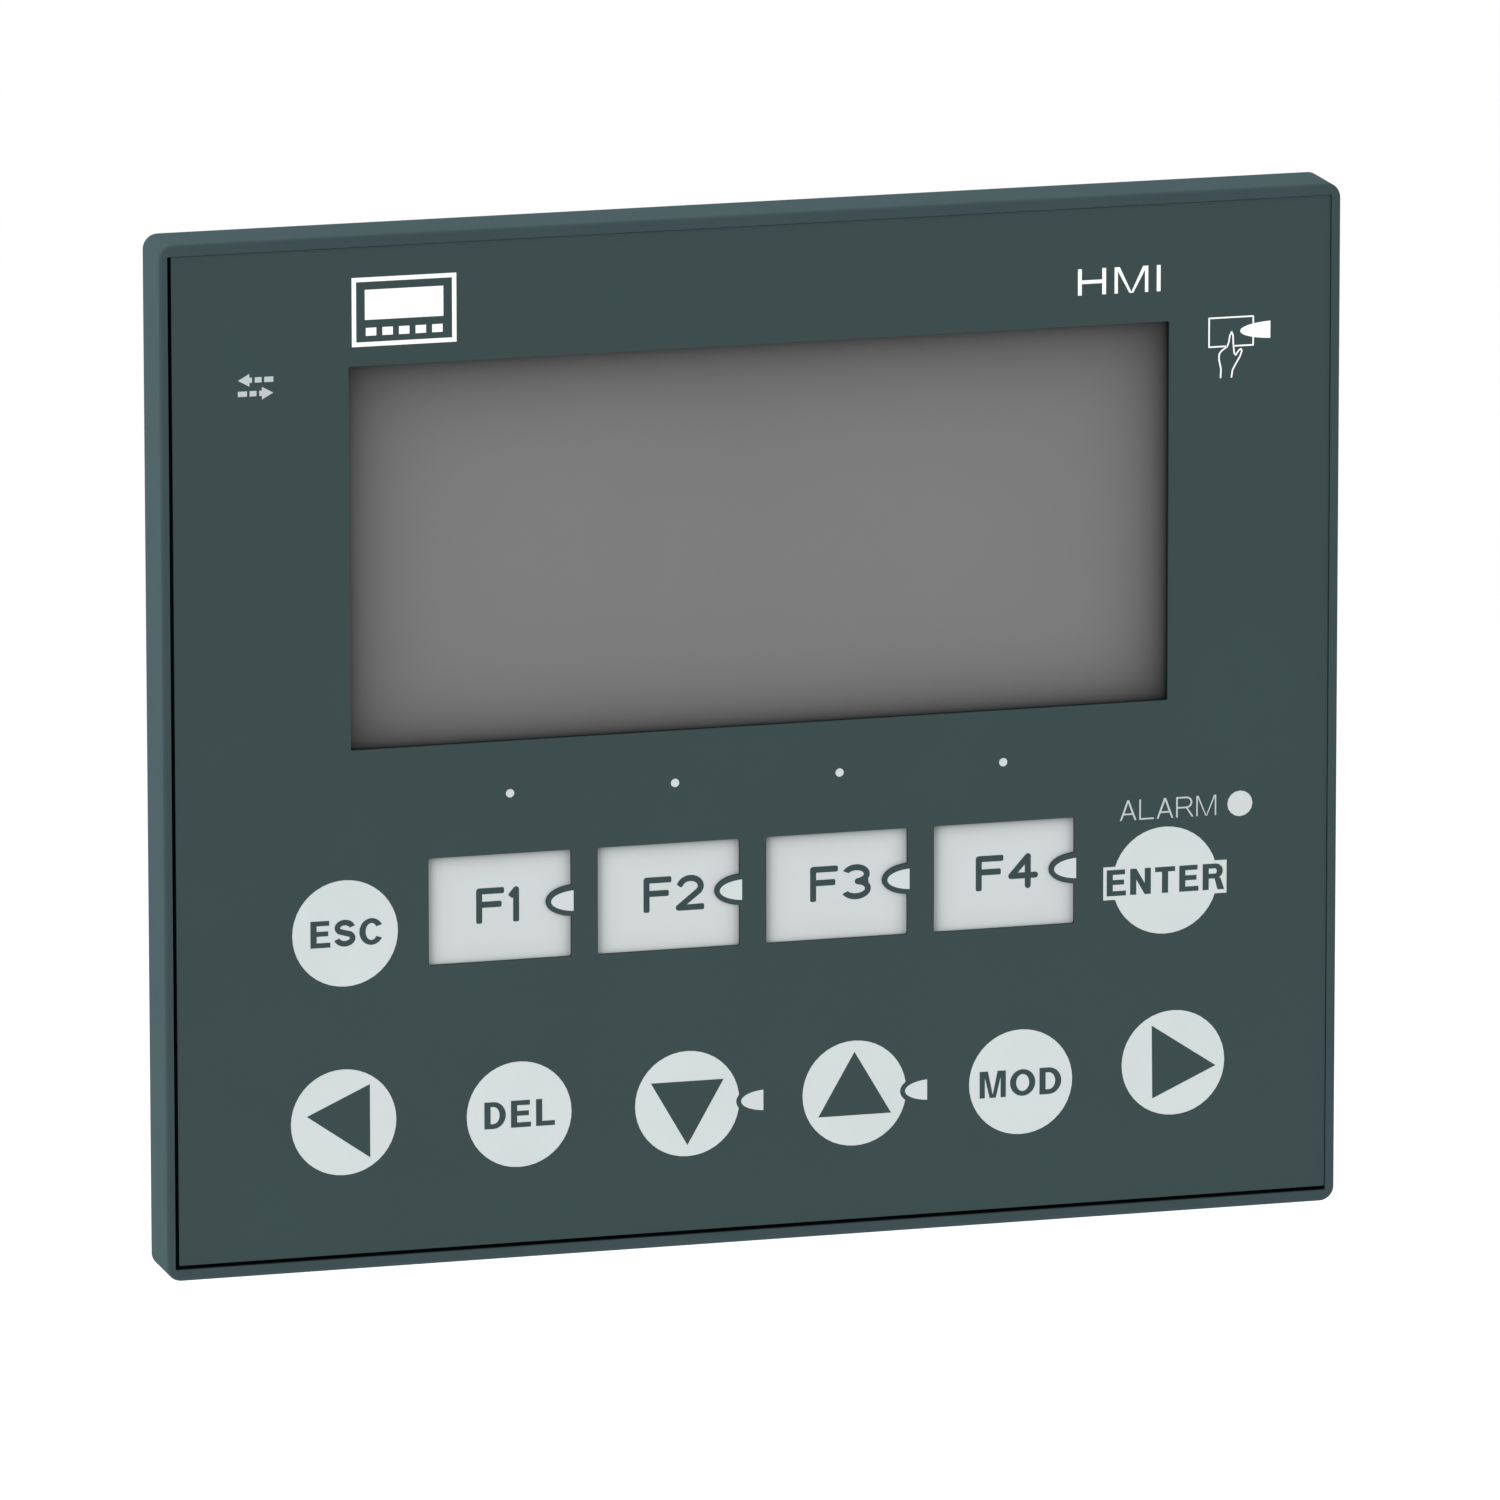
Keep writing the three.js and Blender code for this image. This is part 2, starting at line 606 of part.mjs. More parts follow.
// The box behind the panel, hollow, with its lower rear edge cut away to make the connector bay.
function housingShell() {
  const { halfWidth, halfHeight, corner } = NECK;
  const flangeWidth = POCKET.halfWidth - FLANGE_GAP;
  const flangeHeight = POCKET.halfHeight - FLANGE_GAP;
  const flange = slab(centredRect(flangeWidth, flangeHeight, POCKET.corner), FLANGE_FRONT, 0);
  const outline = centredRect(halfWidth, halfHeight, corner);
  const block = roundedBlock(outline, HOUSING_EDGE, FLANGE_FRONT - 2 * HOUSING_EDGE, HOUSING_DEPTH);
  const wide = 2 * halfWidth;
  const ahead = box(-wide, wide, FLANGE_FRONT - 3 * HOUSING_EDGE, FLANGE_FRONT + JOIN, -wide, wide);
  const cavity = centredRect(halfWidth - WALL, halfHeight - WALL, CAVITY_CORNER);
  const inside = slab(cavity, FLANGE_FRONT - PAST, HOUSING_DEPTH - WALL);
  const ledge = box(-halfWidth, halfWidth, LEDGE.y - WALL, HOUSING_DEPTH, -halfHeight, LEDGE.z + WALL);
  const hollow = combine([inside], [ledge]);
  const bayEnd = HOUSING_DEPTH + PAST;
  const bay = box(-halfWidth - PAST, halfWidth + PAST, LEDGE.y, bayEnd, -halfHeight - PAST, LEDGE.z);
  return combine([flange, combine([block], [ahead])], [hollow, bay]);
}

function buildHousing() {
  const added = [housingShell()];
  const cuts = [...ventSlots(), ...connectorHoles(), labelRecess()];
  for (const [x, z] of screwPlaces()) {
    added.push(rod(x, z, POST_RADIUS, FLANGE_FRONT, HOUSING_DEPTH - HOUSING_EDGE));
    cuts.push(rod(x, z, SCREW.hole, FLANGE_FRONT - PAST, HOUSING_DEPTH + PAST));
    cuts.push(rod(x, z, SCREW.well, SCREW_HEAD_Y - JOIN, HOUSING_DEPTH + PAST));
  }
  const half = GUIDE.pad / 2;
  const padFront = GUIDE.frontY - GUIDE.wall;
  const padRear = HOUSING_DEPTH - HOUSING_EDGE;
  for (const [, side, z] of clipPlaces()) {
    const padInner = GUIDE_FLOOR - GUIDE.wall;
    const padOuter = NECK.halfWidth - HOUSING_EDGE;
    added.push(sideBox(side, padInner, padOuter, padFront, padRear, z - half, z + half));
    cuts.push(...clipGuide(side, z));
  }
  place('rear_housing', combine(added, cuts), 'housing');
}

// Cooling slots through the top wall and the rear wall, each row in a shallow sunk field.
function ventSlots() {
  const { width, length, count, pitch, topStart, rearStart } = VENT;
  const { margin, recess, corner } = VENT_FIELD;
  const top = NECK.halfHeight;
  const rear = HOUSING_DEPTH;
  const start = (-(count - 1) * pitch) / 2;
  const cuts = [];
  for (let i = 0; i < count; i += 1) {
    const left = start + i * pitch - width / 2;
    const right = left + width;
    cuts.push(box(left, right, topStart, topStart + length, top - WALL - PAST, top + PAST));
    cuts.push(box(left, right, rear - WALL - PAST, rear + PAST, rearStart, rearStart + length));
  }
  const reach = -start + width / 2 + margin;
  const field = roundedRect(-reach, reach, rearStart - margin, rearStart + length + margin, corner);
  cuts.push(slab(field, rear - recess, rear + PAST));
  cuts.push(box(-reach, reach, topStart - margin, topStart + length + margin, top - recess, top + PAST));
  return cuts;
}

function labelRecess() {
  const { halfWidth, halfHeight, z, recess, corner } = LABEL;
  const outline = roundedRect(-halfWidth, halfWidth, z - halfHeight, z + halfHeight, corner);
  return slab(outline, HOUSING_DEPTH - recess, HOUSING_DEPTH + PAST);
}

function buildLabel() {
  const { z, recess, gap, corner } = LABEL;
  const halfWidth = LABEL.halfWidth - gap;
  const halfHeight = LABEL.halfHeight - gap;
  const outline = roundedRect(-halfWidth, halfWidth, z - halfHeight, z + halfHeight, corner - gap);
  place('rear_label', slab(outline, HOUSING_DEPTH - recess, HOUSING_DEPTH - FIT), 'label');
}

// ---------------------------------------------------------------- fasteners and clips

function buildHousingScrews() {
  const { shaft, head } = SCREW;
  const { long, half, deep } = CROSS_SLOT;
  const end = SCREW_HEAD_Y + SCREW_HEAD_HEIGHT;
  screwPlaces().forEach(([x, z], index) => {
    const screw = turned(x, z, SMALL_STEPS, [
      [SCREW_TIP, shaft * 0.6],
      [SCREW_TIP + shaft / 2, shaft],
      [SCREW_HEAD_Y, shaft],
      [SCREW_HEAD_Y, head],
      [end - head / 6, head],
      [end, head * 0.75],
    ]);
    const cross = [
      box(x - long, x + long, end - deep, end + PAST, z - half, z + half),
      box(x - half, x + half, end - deep, end + PAST, z - long, z + long),
    ];
    place(`housing_screw_${index + 1}`, combine([screw], cross), 'steel');
  });
}

// A clip is a plate in the guide, a toothed neck through its mouth, a foot that presses on the door
// with a rib behind it, and a heel to push on.
function buildClips() {
  const outer = NECK.halfWidth;
  const plateNear = GUIDE_FLOOR + CLIP_GAP;
  const plateFar = plateNear + CLIP.thickness;
  const surface = outer + CLIP.proud;
  const armNear = outer + 2 * CLIP_GAP;
  const halfPlate = CLIP.plate / 2;
  const halfNeck = CLIP.neck / 2;
  const halfRib = CLIP.ribThickness / 2;
  const front = CLIP.footY;
  const plateFront = front + CLIP.armLength - JOIN;
  const back = HOUSING_DEPTH - CLIP.tail;
  for (const [name, side, z] of clipPlaces()) {
    const heelFront = back - CLIP.heelThickness;
    const pieces = [
      sideBox(side, plateNear, plateFar, plateFront, back, z - halfPlate, z + halfPlate),
      sideBox(side, plateFar - JOIN, surface, plateFront, back, z - halfNeck, z + halfNeck),
      sideBox(side, armNear, surface, front, front + CLIP.armLength, z - halfNeck, z + halfNeck),
      sideBox(side, armNear, outer + CLIP.footReach, front, front + CLIP.footThickness,
        z - CLIP.footHalf, z + CLIP.footHalf),
      sideBox(side, surface - JOIN, outer + CLIP.ribReach, front + JOIN, front + CLIP.ribLength,
        z - halfRib, z + halfRib),
      sideBox(side, surface - JOIN, outer + CLIP.heelReach, heelFront, back, z - halfNeck, z + halfNeck),
    ];
    const teeth = [];
    for (let y = front + TEETH.start; y < back - TEETH.clear; y += TEETH.pitch) {
      teeth.push(sideBox(side, surface - TEETH.depth, surface + PAST, y, y + TEETH.width,
        z - TEETH.half, z + TEETH.half));
    }
    place(name, combine(pieces, teeth), 'steel');
  }
}

// ---------------------------------------------------------------- connectors

// Extrudes an outline drawn in X and Y between two heights.
function column(shape, z0, z1) {
  const geometry = new THREE.ExtrudeGeometry(shape, { depth: z1 - z0, bevelEnabled: false });
  geometry.translate(0, 0, z0);
  return geometry;
}

// A box around the connectors' common line, given by its middle, half its width and half its depth.
function connectorBox(x, halfWidth, halfDepth, z0, z1) {
  return box(x - halfWidth, x + halfWidth, CONNECTOR_Y - halfDepth, CONNECTOR_Y + halfDepth, z0, z1);
}

// The D-shaped outline of the serial socket, grown by a margin.
function serialOutline(grow) {
  const { x, halfTop, halfBottom, halfDepth } = SERIAL;
  const near = CONNECTOR_Y - halfDepth - grow;
  const far = CONNECTOR_Y + halfDepth + grow;
  const shape = new THREE.Shape();
  shape.moveTo(x - halfTop - grow, far);
  shape.lineTo(x - halfBottom - grow, near);
  shape.lineTo(x + halfBottom + grow, near);
  shape.lineTo(x + halfTop + grow, far);
  shape.closePath();
  return shape;
}

function jackPlaces() {
  return [-1, 1].map((side) => SERIAL.x + (side * SERIAL.screwPitch) / 2);
}

function connectorHoles() {
  const low = LEDGE.z - PAST;
  const high = LEDGE.z + WALL + PAST;
  return [
    column(serialOutline(CONNECTOR_GAP), low, high),
    connectorBox(SERVICE.x, SERVICE.half + CONNECTOR_GAP, SERVICE.halfDepth + CONNECTOR_GAP, low, high),
    connectorBox(POWER.x, POWER.width / 2 + CONNECTOR_GAP, POWER.depth / 2 + CONNECTOR_GAP, low, high),
    ...jackPlaces().map((x) => post(x, CONNECTOR_Y, JACK_SCREW.stud + CONNECTOR_GAP, low, high)),
  ];
}

// The 25-way serial socket: a metal shell with its flange on the ledge, a contact block in two
// staggered rows, and the two jack screws that hold the cable's plug.
function buildSerialSocket() {
  const flangeTop = LEDGE.z - FIT;
  const flangeBottom = flangeTop - SERIAL.flange;
  const mouth = LEDGE.z - SERIAL.below;
  const top = LEDGE.z + SERIAL.above;
  const roof = top - 2 * SERIAL.wall;
  const { flangeHalfWidth, flangeHalfDepth } = SERIAL;
  const flange = connectorBox(SERIAL.x, flangeHalfWidth, flangeHalfDepth, flangeBottom, flangeTop);
  const shell = column(serialOutline(0), mouth, top);
  const screwHole = (x) => post(x, CONNECTOR_Y, SERIAL.screwHole, flangeBottom - PAST, flangeTop + PAST);
  const cuts = [column(serialOutline(-SERIAL.wall), mouth - PAST, roof), ...jackPlaces().map(screwHole)];
  place('serial_socket', combine([shell, flange], cuts), 'socket');

  const pins = [];
  for (const row of [0, 1]) {
    const count = PIN.longRow - row;
    const y = CONNECTOR_Y + (0.5 - row) * PIN.rowPitch;
    for (let i = 0; i < count; i += 1) {
      const x = SERIAL.x + (i - (count - 1) / 2) * PIN.pitch;
      pins.push(post(x, y, PIN.radius, mouth - PAST, mouth + PIN.depth, HEX));
    }
  }
  const blockOutline = serialOutline(-SERIAL.wall - CONNECTOR_GAP);
  const block = column(blockOutline, mouth + CONNECTOR_GAP, roof - CONNECTOR_GAP);
  place('serial_contact_block', combine([block], pins), 'contactBlock');

  jackPlaces().forEach((x, index) => {
    const hexBottom = flangeBottom - JACK_SCREW.length;
    const hex = post(x, CONNECTOR_Y, JACK_SCREW.hex, hexBottom, flangeBottom - JOINT, HEX);
    const stud = post(x, CONNECTOR_Y, JACK_SCREW.stud, flangeBottom - JOIN, LEDGE.z + JACK_SCREW.above);
    const thread = post(x, CONNECTOR_Y, JACK_SCREW.thread, hexBottom - PAST, hexBottom + JACK_SCREW.bore);
    place(`jack_screw_${index + 1}`, combine([hex, stud], [thread]), 'steel');
  });
}

// The round programming socket: a groove around its contacts and a keying slot in the middle.
function buildServiceSocket() {
  const { x, half, halfDepth, above, below, outer, inner, bore } = SERVICE;
  const { count, circle, radius, depth } = SERVICE_CONTACT;
  const bottom = LEDGE.z - below;
  const start = bottom - PAST;
  const groove = combine(
    [post(x, CONNECTOR_Y, outer, start, bottom + bore, CIRCLE_STEPS)],
    [post(x, CONNECTOR_Y, inner, start - PAST, bottom + bore + PAST, CIRCLE_STEPS)],
  );
  const key = connectorBox(x, 2.5 * radius, 1.5 * radius, start, bottom + depth);
  const contacts = [];
  for (let i = 0; i < count; i += 1) {
    const angle = (2 * Math.PI * i) / count;
    const cx = x + circle * Math.cos(angle);
    const cy = CONNECTOR_Y + circle * Math.sin(angle);
    contacts.push(post(cx, cy, radius, start, bottom + depth, DOME_STEPS));
  }
  const body = connectorBox(x, half, halfDepth, bottom, LEDGE.z + above);
  place('service_socket', combine([body], [groove, key, ...contacts]), 'contactBlock');
}

// The supply connector: a header in the housing and a plug with three clamp screws.
function polePlaces() {
  return [-1, 0, 1].map((i) => POWER.x + i * POWER.pitch);
}

function buildPowerHeader() {
  const { x, width, depth, above, roof, pin } = POWER;
  const bottom = LEDGE.z - FIT;
  const top = LEDGE.z + above;
  const body = connectorBox(x, width / 2, depth / 2, bottom, top);
  const halfMouth = PLUG.width / 2 + PLUG.gap;
  const mouth = connectorBox(x, halfMouth, PLUG.depth / 2 + PLUG.gap, bottom - PAST, top - roof);
  const pins = polePlaces().map((px) => post(px, CONNECTOR_Y, pin, bottom + PAST, top - PAST, DOME_STEPS));
  place('power_header', combine([combine([body], [mouth]), ...pins]), 'terminal');
}

function buildPowerPlug() {
  const top = LEDGE.z + PLUG.above;
  const bottom = LEDGE.z - PLUG.below;
  const screwZ = bottom + CLAMP.up;
  const halfShoulder = PLUG.width / 2 + PLUG.shoulder;
  const tongue = connectorBox(POWER.x, PLUG.width / 2, PLUG.depth / 2, bottom, top);
  const shoulder = box(POWER.x - halfShoulder, POWER.x + halfShoulder, CONNECTOR_Y - PLUG.shoulderFront,
    CONNECTOR_Y + PLUG.shoulderRear, bottom, LEDGE.z - PLUG.shoulderTop);
  const { pinHalf, pinDepth, wireHalf, wireDepth } = PLUG;
  const wireFront = CONNECTOR_Y - 1.5 * wireHalf;
  const wireRear = CONNECTOR_Y + pinHalf;
  const wellFront = CONNECTOR_Y + CLAMP.wellFront;
  const wellRear = CONNECTOR_Y + PLUG.shoulderRear + PAST;
  const cuts = [];
  for (const x of polePlaces()) {
    cuts.push(connectorBox(x, pinHalf, pinHalf, top - pinDepth, top + PAST));
    cuts.push(box(x - wireHalf, x + wireHalf, wireFront, wireRear, bottom - PAST, bottom + wireDepth));
    cuts.push(rod(x, screwZ, CLAMP.well, wellFront, wellRear));
  }
  place('power_plug', combine([tongue, shoulder], cuts), 'terminal');

  polePlaces().forEach((x, index) => {
    const rear = CONNECTOR_Y + CLAMP.rear;
    const head = rod(x, screwZ, CLAMP.head, CONNECTOR_Y + CLAMP.front, rear);
    const { slotHalf, slotDepth } = CLAMP;
    const slot = box(x - CLAMP.well, x + CLAMP.well, rear - slotDepth, rear + PAST,
      screwZ - slotHalf, screwZ + slotHalf);
    place(`clamp_screw_${index + 1}`, combine([head], [slot]), 'steel');
  });
}

// ---------------------------------------------------------------- main board

function buildMainBoard() {
  const { front, thickness, halfWidth, bottom, top } = MAIN_BOARD;
  const rear = front + thickness;
  place('main_board', box(-halfWidth, halfWidth, front, rear, bottom, top), 'board');
  for (const [name, x, z, width, height, tall, finishName] of CHIPS) {
    const left = x - width / 2;
    const low = z - height / 2;
    place(name, box(left, left + width, rear + JOINT, rear + tall, low, low + height), finishName);
  }
  for (const [name, x, z, radius] of CAPACITORS) {
    const pairs = [
      [rear + JOINT, radius],
      [rear + CAPACITOR.tall - CAPACITOR.chamfer, radius],
      [rear + CAPACITOR.tall, radius - CAPACITOR.chamfer],
    ];
    place(name, turned(x, z, SMALL_STEPS, pairs), 'capacitor');
  }
}

// ---------------------------------------------------------------- assembly

buildBezel();
buildOverlay();
buildGasket();
buildLightPipes();
buildKeys();
buildDomeSheet();
buildKeypadBoard();
buildDisplay();
buildHousing();
buildLabel();
buildHousingScrews();
buildClips();
buildSerialSocket();
buildServiceSocket();
buildPowerHeader();
buildPowerPlug();
buildMainBoard();

export default terminal;
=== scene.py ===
import json
import math

import bmesh
import bpy
from mathutils import Matrix, Vector
from mathutils.geometry import tessellate_polygon

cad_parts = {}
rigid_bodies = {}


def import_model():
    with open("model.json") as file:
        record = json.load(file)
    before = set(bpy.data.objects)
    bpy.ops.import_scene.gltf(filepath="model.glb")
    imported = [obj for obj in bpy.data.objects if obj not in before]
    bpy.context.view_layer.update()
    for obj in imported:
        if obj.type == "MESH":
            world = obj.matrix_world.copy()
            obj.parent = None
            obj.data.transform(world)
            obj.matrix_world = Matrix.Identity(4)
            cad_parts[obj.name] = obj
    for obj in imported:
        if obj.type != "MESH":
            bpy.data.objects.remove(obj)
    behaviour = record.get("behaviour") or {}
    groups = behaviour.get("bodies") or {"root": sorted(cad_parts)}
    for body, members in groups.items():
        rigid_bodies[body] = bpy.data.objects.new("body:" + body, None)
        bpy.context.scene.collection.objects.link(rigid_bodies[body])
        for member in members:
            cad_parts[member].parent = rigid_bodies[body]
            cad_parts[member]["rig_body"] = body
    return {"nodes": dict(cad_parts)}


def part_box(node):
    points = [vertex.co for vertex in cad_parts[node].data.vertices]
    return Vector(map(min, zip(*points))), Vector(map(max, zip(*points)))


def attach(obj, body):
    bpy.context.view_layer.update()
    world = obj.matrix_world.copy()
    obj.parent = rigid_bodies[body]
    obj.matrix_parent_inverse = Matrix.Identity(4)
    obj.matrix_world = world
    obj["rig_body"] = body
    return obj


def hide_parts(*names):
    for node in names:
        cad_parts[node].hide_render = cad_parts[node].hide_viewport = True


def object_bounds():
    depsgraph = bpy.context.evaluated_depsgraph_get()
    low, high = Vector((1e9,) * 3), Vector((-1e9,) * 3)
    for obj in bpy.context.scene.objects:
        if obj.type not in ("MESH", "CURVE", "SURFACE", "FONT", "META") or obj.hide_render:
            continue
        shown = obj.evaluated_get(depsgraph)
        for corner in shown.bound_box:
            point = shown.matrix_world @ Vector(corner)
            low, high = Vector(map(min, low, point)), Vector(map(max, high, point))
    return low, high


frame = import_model()
cad_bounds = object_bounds()
NODES = frame["nodes"]
MM = 0.001

# ---------------------------------------------------------------- camera, light and floor

YAW = math.radians(15.827)
ELEVATION = math.radians(12.555)
ROLL = math.radians(-0.05)
AIM = Vector((1.393, 0.0, -3.843)) * MM
CAMERA_DISTANCE = 1879.5 * MM
LENS = 400.34
SENSOR = 36.0
CLIP_NEAR = 0.05
CLIP_FAR = 60.0

# The softboxes stand behind the door plane, so that they light the sides more than the front. Each
# one's place gives its direction from the object.
WORLD_LIGHT = 1.02
SOFTBOX_SIZE = 0.8
SOFTBOX_DISTANCE = 0.6
SOFTBOXES = {
    "left_softbox": {"place": (-1.0, 0.6, 0.10), "power": 4.1},
    "top_softbox": {"place": (0.05, 0.5, 1.0), "power": 3.1},
}
FLOOR_DROP = 0.22
FLOOR_HALF = 9.0
FLOOR_WHITE = (0.98, 0.98, 0.98, 1)
FLOOR_ROUGHNESS = 0.9


def aimed_matrix(back, target, distance):
    """A matrix whose -Z looks at the target from that distance along back, with no roll."""
    back = back.normalized()
    right = Vector((0, 0, 1)).cross(back).normalized()
    up = back.cross(right)
    place = target + back * distance
    columns = Matrix((right, up, back)).transposed().to_4x4()
    return Matrix.Translation(place) @ columns


def add_camera():
    data = bpy.data.cameras.new("camera")
    data.lens = LENS
    data.sensor_width = SENSOR
    data.clip_start = CLIP_NEAR
    data.clip_end = CLIP_FAR
    camera = bpy.data.objects.new("camera", data)
    bpy.context.scene.collection.objects.link(camera)
    flat = math.cos(ELEVATION)
    back = Vector((-math.sin(YAW) * flat, -math.cos(YAW) * flat, math.sin(ELEVATION)))
    camera.matrix_world = aimed_matrix(back, AIM, CAMERA_DISTANCE) @ Matrix.Rotation(ROLL, 4, "Z")
    bpy.context.scene.camera = camera


def add_softbox(name, place, power):
    data = bpy.data.lights.new(name, "AREA")
    data.shape = "SQUARE"
    data.size = SOFTBOX_SIZE
    data.energy = power
    light = bpy.data.objects.new(name, data)
    bpy.context.scene.collection.objects.link(light)
    light.visible_camera = False
    light.matrix_world = aimed_matrix(Vector(place), Vector((0, 0, 0)), SOFTBOX_DISTANCE)


def add_light():
    world = bpy.data.worlds.new("studio")
    world.use_nodes = True
    background = world.node_tree.nodes["Background"]
    background.inputs["Color"].default_value = (1, 1, 1, 1)
    background.inputs["Strength"].default_value = WORLD_LIGHT
    bpy.context.scene.world = world
    bpy.context.scene.view_settings.view_transform = "Standard"
    for name, box in SOFTBOXES.items():
        add_softbox(name, box["place"], box["power"])


def add_floor():
    """A pale floor, far enough below the object to keep its shadow out of the picture."""
    low = cad_bounds[0][2] - FLOOR_DROP
    half = FLOOR_HALF
    corners = [(-half, -half, low), (half, -half, low), (half, half, low), (-half, half, low)]
    mesh = bpy.data.meshes.new("floor")
    mesh.from_pydata(corners, [], [(0, 1, 2, 3)])
    floor = bpy.data.objects.new("floor", mesh)
    bpy.context.scene.collection.objects.link(floor)
    pale = bpy.data.materials.new("pale_floor")
    pale.use_nodes = True
    shader = pale.node_tree.nodes["Principled BSDF"]
    shader.inputs["Base Color"].default_value = FLOOR_WHITE
    shader.inputs["Roughness"].default_value = FLOOR_ROUGHNESS
    mesh.materials.append(pale)


# ---------------------------------------------------------------- places in the frame


def window_of(node, border):
    """The left, right, bottom and top of a node's visible face, inside a hidden border, in metres."""
    low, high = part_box(node)
    inset = border * MM
    return (low.x + inset, high.x - inset, low.z + inset, high.z - inset)


def front_of(node):
    """The depth of a node's front face, in metres."""
    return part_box(node)[0].y


def centre_of(node):
    """The X and Z of a node's middle, in millimetres."""
    left, right, bottom, top = window_of(node, 0)
    return (left + right) / 2 / MM, (bottom + top) / 2 / MM


# ---------------------------------------------------------------- materials

# Where most of a noise lies: a wide range for soft clouds and a narrow one for crisp grain.
CLOUD_RANGE = (0.3, 0.7)
GRAIN_RANGE = (0.35, 0.65)

# The grain's multiple of a surface's own colour, how much edges lift that colour for each unit of the
# edge mask, partly as wear and partly as a painted highlight, and how far the roughness drifts to each
# side.
GRAIN_SHADE = 1.5
EDGE_WEAR_AND_HIGHLIGHT = 2.5
ROUGHNESS_DRIFT = 0.05

# Behind this depth, a face is no longer in a gap at the front, and gets none of the painted gap shade.
GAP_END = 1.2 * MM


def linear(red, green, blue):
    """An 8-bit sRGB colour as linear RGBA."""
    values = []
    for channel in (red, green, blue):
        share = channel / 255
        values.append(share / 12.92 if share <= 0.04045 else ((share + 0.055) / 1.055) ** 2.4)
    return (*values, 1.0)


def scaled(colour, factor):
    return tuple(min(1.0, c * factor) for c in colour[:3]) + (1.0,)


class Nodes:
    """Short calls for building one material's node tree."""

    def __init__(self, name):
        self.material = bpy.data.materials.new(name)
        self.material.use_nodes = True
        self.tree = self.material.node_tree
        self.shader = self.tree.nodes["Principled BSDF"]

    def add(self, kind, **settings):
        node = self.tree.nodes.new(kind)
        for key, value in settings.items():
            setattr(node, key, value)
        return node

    def link(self, source, target):
        self.tree.links.new(source, target)

    def feed(self, socket, value):
        if isinstance(value, bpy.types.NodeSocket):
            self.link(value, socket)
        else:
            socket.default_value = value

    def object_coords(self):
        return self.add("ShaderNodeTexCoord").outputs["Object"]

    def noise(self, scale, detail=4.0, roughness=0.55, coords=None):
        node = self.add("ShaderNodeTexNoise")
        self.link(coords or self.object_coords(), node.inputs["Vector"])
        node.inputs["Scale"].default_value = scale
        node.inputs["Detail"].default_value = detail
        node.inputs["Roughness"].default_value = roughness
        return node.outputs["Fac"]

    def math(self, operation, first, second=0.0, clamp=False):
        node = self.add("ShaderNodeMath", operation=operation, use_clamp=clamp)
        self.feed(node.inputs[0], first)
        self.feed(node.inputs[1], second)
        return node.outputs[0]

    def remap(self, value, low, high, to_low, to_high):
        node = self.add("ShaderNodeMapRange")
        self.link(value, node.inputs["Value"])
        node.inputs["From Min"].default_value = low
        node.inputs["From Max"].default_value = high
        node.inputs["To Min"].default_value = to_low
        node.inputs["To Max"].default_value = to_high
        return node.outputs["Result"]

    def spread(self, noise, to_low, to_high):
        """A noise stretched from its usual range to another one."""
        return self.remap(noise, *CLOUD_RANGE, to_low, to_high)

    def mix(self, factor, first, second, blend="MIX"):
        node = self.add("ShaderNodeMix", data_type="RGBA", blend_type=blend)
        self.feed(node.inputs["Factor"], factor)
        self.feed(node.inputs["A"], first)
        self.feed(node.inputs["B"], second)
        return node.outputs["Result"]

    def drift(self, noise, colour, low, high):
        """A colour that drifts with a noise between two multiples of itself."""
        return self.mix(self.spread(noise, 0.0, 1.0), scaled(colour, low), scaled(colour, high))

    def grey(self, value):
        node = self.add("ShaderNodeCombineColor")
        for channel in ("Red", "Green", "Blue"):
            self.link(value, node.inputs[channel])
        return node.outputs["Color"]

    def edge_mask(self, radius, low=0.02, high=0.25):
        """1 on edges sharper than the radius, 0 on flat ground."""
        bevel = self.add("ShaderNodeBevel", samples=4)
        bevel.inputs["Radius"].default_value = radius
        geometry = self.add("ShaderNodeNewGeometry")
        dot = self.add("ShaderNodeVectorMath", operation="DOT_PRODUCT")
        self.link(bevel.outputs["Normal"], dot.inputs[0])
        self.link(geometry.outputs["Normal"], dot.inputs[1])
        bend = self.math("SUBTRACT", 1.0, dot.outputs["Value"])
        return self.remap(bend, low, high, 0.0, 1.0)

    def bump(self, height, strength, distance):
        node = self.add("ShaderNodeBump")
        node.inputs["Strength"].default_value = strength
        node.inputs["Distance"].default_value = distance
        self.link(height, node.inputs["Height"])
        self.link(node.outputs["Normal"], self.shader.inputs["Normal"])

    def set(self, **values):
        """Sets constants on the shader's own sockets, with _ for a space in a socket's name."""
        for key, value in values.items():
            self.shader.inputs[key.replace("_", " ")].default_value = value


